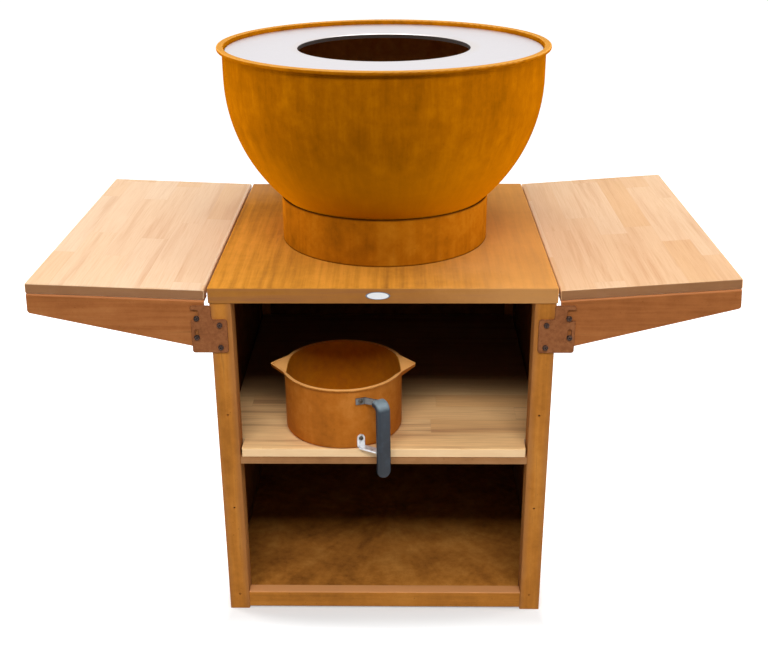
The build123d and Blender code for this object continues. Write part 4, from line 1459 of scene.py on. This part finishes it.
@dataclass
class FireBowl:
    """Fire bowl, the ring that it stands in and its cooking plate."""

    axis: tuple[float, float] = (0.0, -0.025)
    inner_radius: float = 0.2925
    rim_height: float = 1.013
    ring_foot: float = 0.666
    ring_top: float = 0.753
    ring_radius: float = 0.2

    def build(self) -> None:
        """Dress the bowl, its ring, its lugs and the plate."""
        bowl = TurnedRust(
            "bowl_rust",
            dark=paint(104, 56, 1),
            body=paint(151, 85, 2),
            pale=paint(187, 112, 3),
            # painted highlight on the rim's top
            painted_highlight=paint(208, 152, 74),
            pit=paint(84, 42, 1),
            shine=0.0,
            sheen=0.5,
            edge=paint(226, 160, 74),
            inner=paint(196, 150, 90),
            axis=self.axis,
            drawn_out=0.14,
            streak_scale=190.0,
            streak_share=0.12,
            line_share=0.2,
            # painted light: the bowl's lower wall is painted paler
            glow=paint(196, 120, 2),
            painted_light_span=(0.92, 0.76),
            edge_share=0.35,
            burnt_from=self.inner_radius,
            burnt_below=self.rim_height,
        )
        ring = TurnedRust(
            "ring_rust",
            dark=paint(108, 60, 5),
            body=paint(161, 92, 10),
            pale=paint(190, 122, 26),
            shine=0.0,
            pit=paint(64, 32, 4),
            axis=self.axis,
            radius=self.ring_radius,
            streak_share=0.1,
            patch_scale=7.0,
            # painted shadow where the ring meets the top and the bowl
            shadow_lines=(self.ring_foot, self.ring_top),
        )
        dress(bowl, "bowl_shell")
        dress(ring, "base_ring", "plate_rests")
        dress(GroundSteel("ground_plate", self.axis), "cooking_plate")


PALE_STAVES = Staves(
    "pale_staves",
    cream=paint(224, 195, 163),
    peach=paint(219, 184, 147),
    honey=paint(213, 168, 116),
    vein=paint(197, 150, 111),
)


@dataclass
class SideTable:
    """A folding table with its arms, brackets and bolts."""

    hand: Hand
    rise: float
    board: Staves = Staves("table_staves")
    arm: Rust = Rust(
        "arm_rust",
        dark=paint(126, 72, 36),
        body=paint(166, 101, 54),
        pale=paint(188, 124, 72),
        # painted highlight on the arm's top edge
        painted_highlight=paint(186, 122, 78),
        run=Run.ALONG_X,
    )
    bracket: Rust = Rust(
        "bracket_rust",
        dark=paint(106, 62, 36),
        body=paint(143, 88, 53),
        pale=paint(170, 111, 70),
        # painted shadow: the bracket's edges round the slots and outline are painted almost black
        edge=paint(50, 29, 18),
        edge_share=1.0,
        patch_scale=22.0,
    )

    def build(self) -> None:
        """Dress the table and cut its bolts, nuts and screws."""
        side = self.hand.value
        dress(self.board, f"{side}_board")
        dress(self.arm, f"{side}_front_arm", f"{side}_rear_arm")
        dress(self.bracket, f"front_{side}_bracket", f"rear_{side}_bracket")
        Screws(f"{side}_board_screws", BLACK_BOLT, self.under_board).build()
        for kind in ("latch", "pivot"):
            Bolts(f"{side}_{kind}_bolts", BLACK_BOLT, outward_y).build()
            Nuts(f"{side}_{kind}_nuts", BLACK_BOLT, outward_y).build()

    def under_board(self, middle: Vector) -> Vector:
        """Down out of the board, which leans by its rise."""
        lean = math.radians(self.rise)
        return Vector((math.copysign(math.sin(lean), middle.x), 0.0, -math.cos(lean)))


@dataclass
class Pot:
    """Steel pot with its strap, grip and strut."""

    axis: tuple[float, float] = (-0.076, -0.2148)
    radius: float = 0.109
    brim_height: float = 0.4705
    wall_reach: float = 0.001
    dimple_radius: float = 0.0018
    dimple_depth: float = 0.0016
    strap: HandleSteel = HandleSteel(
        "strap_steel", bright=paint(104, 102, 100), dull=paint(60, 56, 54), roughness=0.34
    )
    strut: HandleSteel = HandleSteel("strut_steel")
    rivet: HandleSteel = HandleSteel(
        "rivet_steel", bright=paint(92, 80, 68), dull=paint(46, 38, 33)
    )
    grip: GripPlastic = GripPlastic("grip_plastic_skin")

    def build(self) -> None:
        """Dress the pot and its handle and cut the rivets."""
        body = TurnedRust(
            "pot_rust",
            dark=paint(138, 76, 20),
            body=paint(184, 106, 32),
            pale=paint(208, 132, 56),
            edge=paint(240, 184, 112),
            # painted highlight on the brim
            painted_highlight=paint(255, 190, 112),
            inner=paint(224, 142, 9),
            axis=self.axis,
            radius=self.radius,
            streak_share=0.08,
            line_share=0.1,
            patch_scale=9.0,
            edge_share=0.7,
            burnt_from=self.radius - self.wall_reach,
            burnt_below=self.brim_height,
            burnt_share=0.75,
            roughness=0.5,
        )
        dress(body, "pot_body")
        dress(self.strap, "pot_strap")
        dress(self.strut, "pot_strut")
        dress(self.grip, "pot_grip")
        for node in ("strap_rivet", "strut_rivets"):
            Rivets(
                node,
                self.rivet,
                self.outward,
                "handle_steel",
                recess_radius=self.dimple_radius,
                recess_depth=self.dimple_depth,
            ).build()

    def outward(self, middle: Vector) -> Vector:
        """Straight out of the pot's wall."""
        return Vector((middle.x - self.axis[0], middle.y - self.axis[1], 0.0))


@dataclass
class Lamp:
    """One soft box."""

    name: str
    place: tuple[float, float, float]
    aim: tuple[float, float, float]
    size: tuple[float, float]
    power: float

    def build(self) -> None:
        """Hang the lamp and turn it to its aim."""
        data = bpy.data.lights.new(self.name, "AREA")
        data.shape = "RECTANGLE"
        data.size, data.size_y = self.size
        data.energy = self.power
        lamp = placed(self.name, data)
        lamp.location = self.place
        way = Vector(self.aim) - Vector(self.place)
        lamp.rotation_euler = way.to_track_quat("-Z", "Y").to_euler()


@dataclass
class Studio:
    """White room: floor, world, lamps and the camera."""

    focal_pixels: float = 1101.87
    image_width: float = 768.0
    sensor: float = 36.0
    eye: tuple[float, float, float] = (0.03022, -2.07267, 1.34219)
    pitch: float = 22.9627
    yaw: float = -0.9174
    roll: float = 0.3216
    floor_half: float = 30.0
    floor_colour: Colour = (0.5, 0.5, 0.5)
    ambient: float = 0.15
    near_glow: float = 0.3
    far_glow: float = 1.0
    glow_beside: Span = (0.29, 0.34)
    glow_before: Span = (0.34, 0.46)
    view_reach: float = 100.0
    lamps: list[Lamp] = field(
        default_factory=lambda: [
            Lamp("key", (0.0, -2.65, 3.3), (0.0, -0.1, 0.6), (3.0, 0.8), 106.0),
            Lamp("overhead", (0.0, -0.1, 3.2), (0.0, 0.0, 0.7), (2.4, 1.6), 42.0),
            Lamp("left_strip", (-2.2, 0.5, 0.9), (0.0, 0.0, 0.85), (0.9, 1.0), 62.0),
            Lamp("right_strip", (2.2, -0.1, 0.9), (0.0, 0.0, 0.85), (0.9, 1.0), 48.0),
        ]
    )

    def build(self) -> None:
        """Set up everything round the object."""
        bpy.context.scene.view_settings.view_transform = "Standard"
        self.lay_floor()
        self.light_world()
        for lamp in self.lamps:
            lamp.build()
            LOG.info("lamp %s", lamp.name)
        self.stand_camera()

    def seen(self, graph: Graph) -> Signal:
        """Mask of the rays that show the room: straight, mirrored or through glass.

        Args:
            graph: The tree of the floor or of the world.

        Returns:
            The mask.
        """
        kinds = ("Is Camera Ray", "Is Glossy Ray", "Is Transmission Ray")
        straight, mirrored, through = (graph.add("ShaderNodeLightPath", output=k) for k in kinds)
        return straight | mirrored | through

    def lay_floor(self) -> None:
        """Lay a pale floor that looks white and keeps the object's shadow."""
        half = self.floor_half
        mesh = bpy.data.meshes.new("floor")
        corners = [(-half, -half, 0.0), (half, -half, 0.0), (half, half, 0.0), (-half, half, 0.0)]
        mesh.from_pydata(corners, [], [(0, 1, 2, 3)])
        material = bpy.data.materials.new("pale_floor")
        material.use_nodes = True
        graph = Graph(material.node_tree)
        place = graph.place()
        beside = graph.smooth(abs(place.part(0)), *self.glow_beside)
        before = graph.smooth(abs(place.part(1)), *self.glow_before)
        glow = self.near_glow + (beside | before) * (self.far_glow - self.near_glow)
        shader = graph.add(
            "ShaderNodeAddShader",
            {
                0: graph.add("ShaderNodeBsdfDiffuse", {"Color": self.floor_colour}),
                1: graph.add("ShaderNodeEmission", {"Strength": glow * self.seen(graph)}),
            },
        )
        graph.add("ShaderNodeOutputMaterial", {"Surface": shader})
        mesh.materials.append(material)
        floor = placed("floor", mesh)

    def light_world(self) -> None:
        """Fill the room with weak soft light behind a white backdrop."""
        world = bpy.data.worlds.new("white_room")
        world.use_nodes = True
        bpy.context.scene.world = world
        graph = Graph(world.node_tree)
        strength = self.ambient + self.seen(graph) * (1.0 - self.ambient)
        white = (1.0, 1.0, 1.0)
        backdrop = graph.add("ShaderNodeBackground", {"Color": white, "Strength": strength})
        graph.add("ShaderNodeOutputWorld", {"Surface": backdrop})

    def stand_camera(self) -> None:
        """Stand the camera where the photograph was taken from."""
        pitch, yaw, roll = (math.radians(a) for a in (self.pitch, self.yaw, self.roll))
        forward = Vector(
            (math.sin(yaw) * math.cos(pitch), math.cos(yaw) * math.cos(pitch), -math.sin(pitch))
        )
        level = Vector((math.cos(yaw), -math.sin(yaw), 0.0))
        down = forward.cross(level)
        right = level * math.cos(roll) + down * math.sin(roll)
        up = level * math.sin(roll) - down * math.cos(roll)
        data = bpy.data.cameras.new("camera")
        data.sensor_fit = "HORIZONTAL"
        data.sensor_width = self.sensor
        data.lens = self.focal_pixels * self.sensor / self.image_width
        data.clip_end = self.view_reach
        camera = placed("camera", data)
        turn = Matrix((right, up, -forward)).transposed().to_4x4()
        camera.matrix_world = Matrix.Translation(self.eye) @ turn
        bpy.context.scene.camera = camera


def main() -> None:
    """Build the studio and dress each sub-assembly in turn."""
    logging.basicConfig(level=logging.INFO, format="%(message)s")
    assemblies = (
        Studio(),
        Cabinet(),
        FireBowl(),
        SideTable(Hand.RIGHT, rise=4.0),
        SideTable(Hand.LEFT, rise=2.3, board=PALE_STAVES),
        Pot(),
    )
    for assembly in assemblies:
        assembly.build()
        LOG.info("%s done", type(assembly).__name__)


if __name__ == "__main__":
    main()
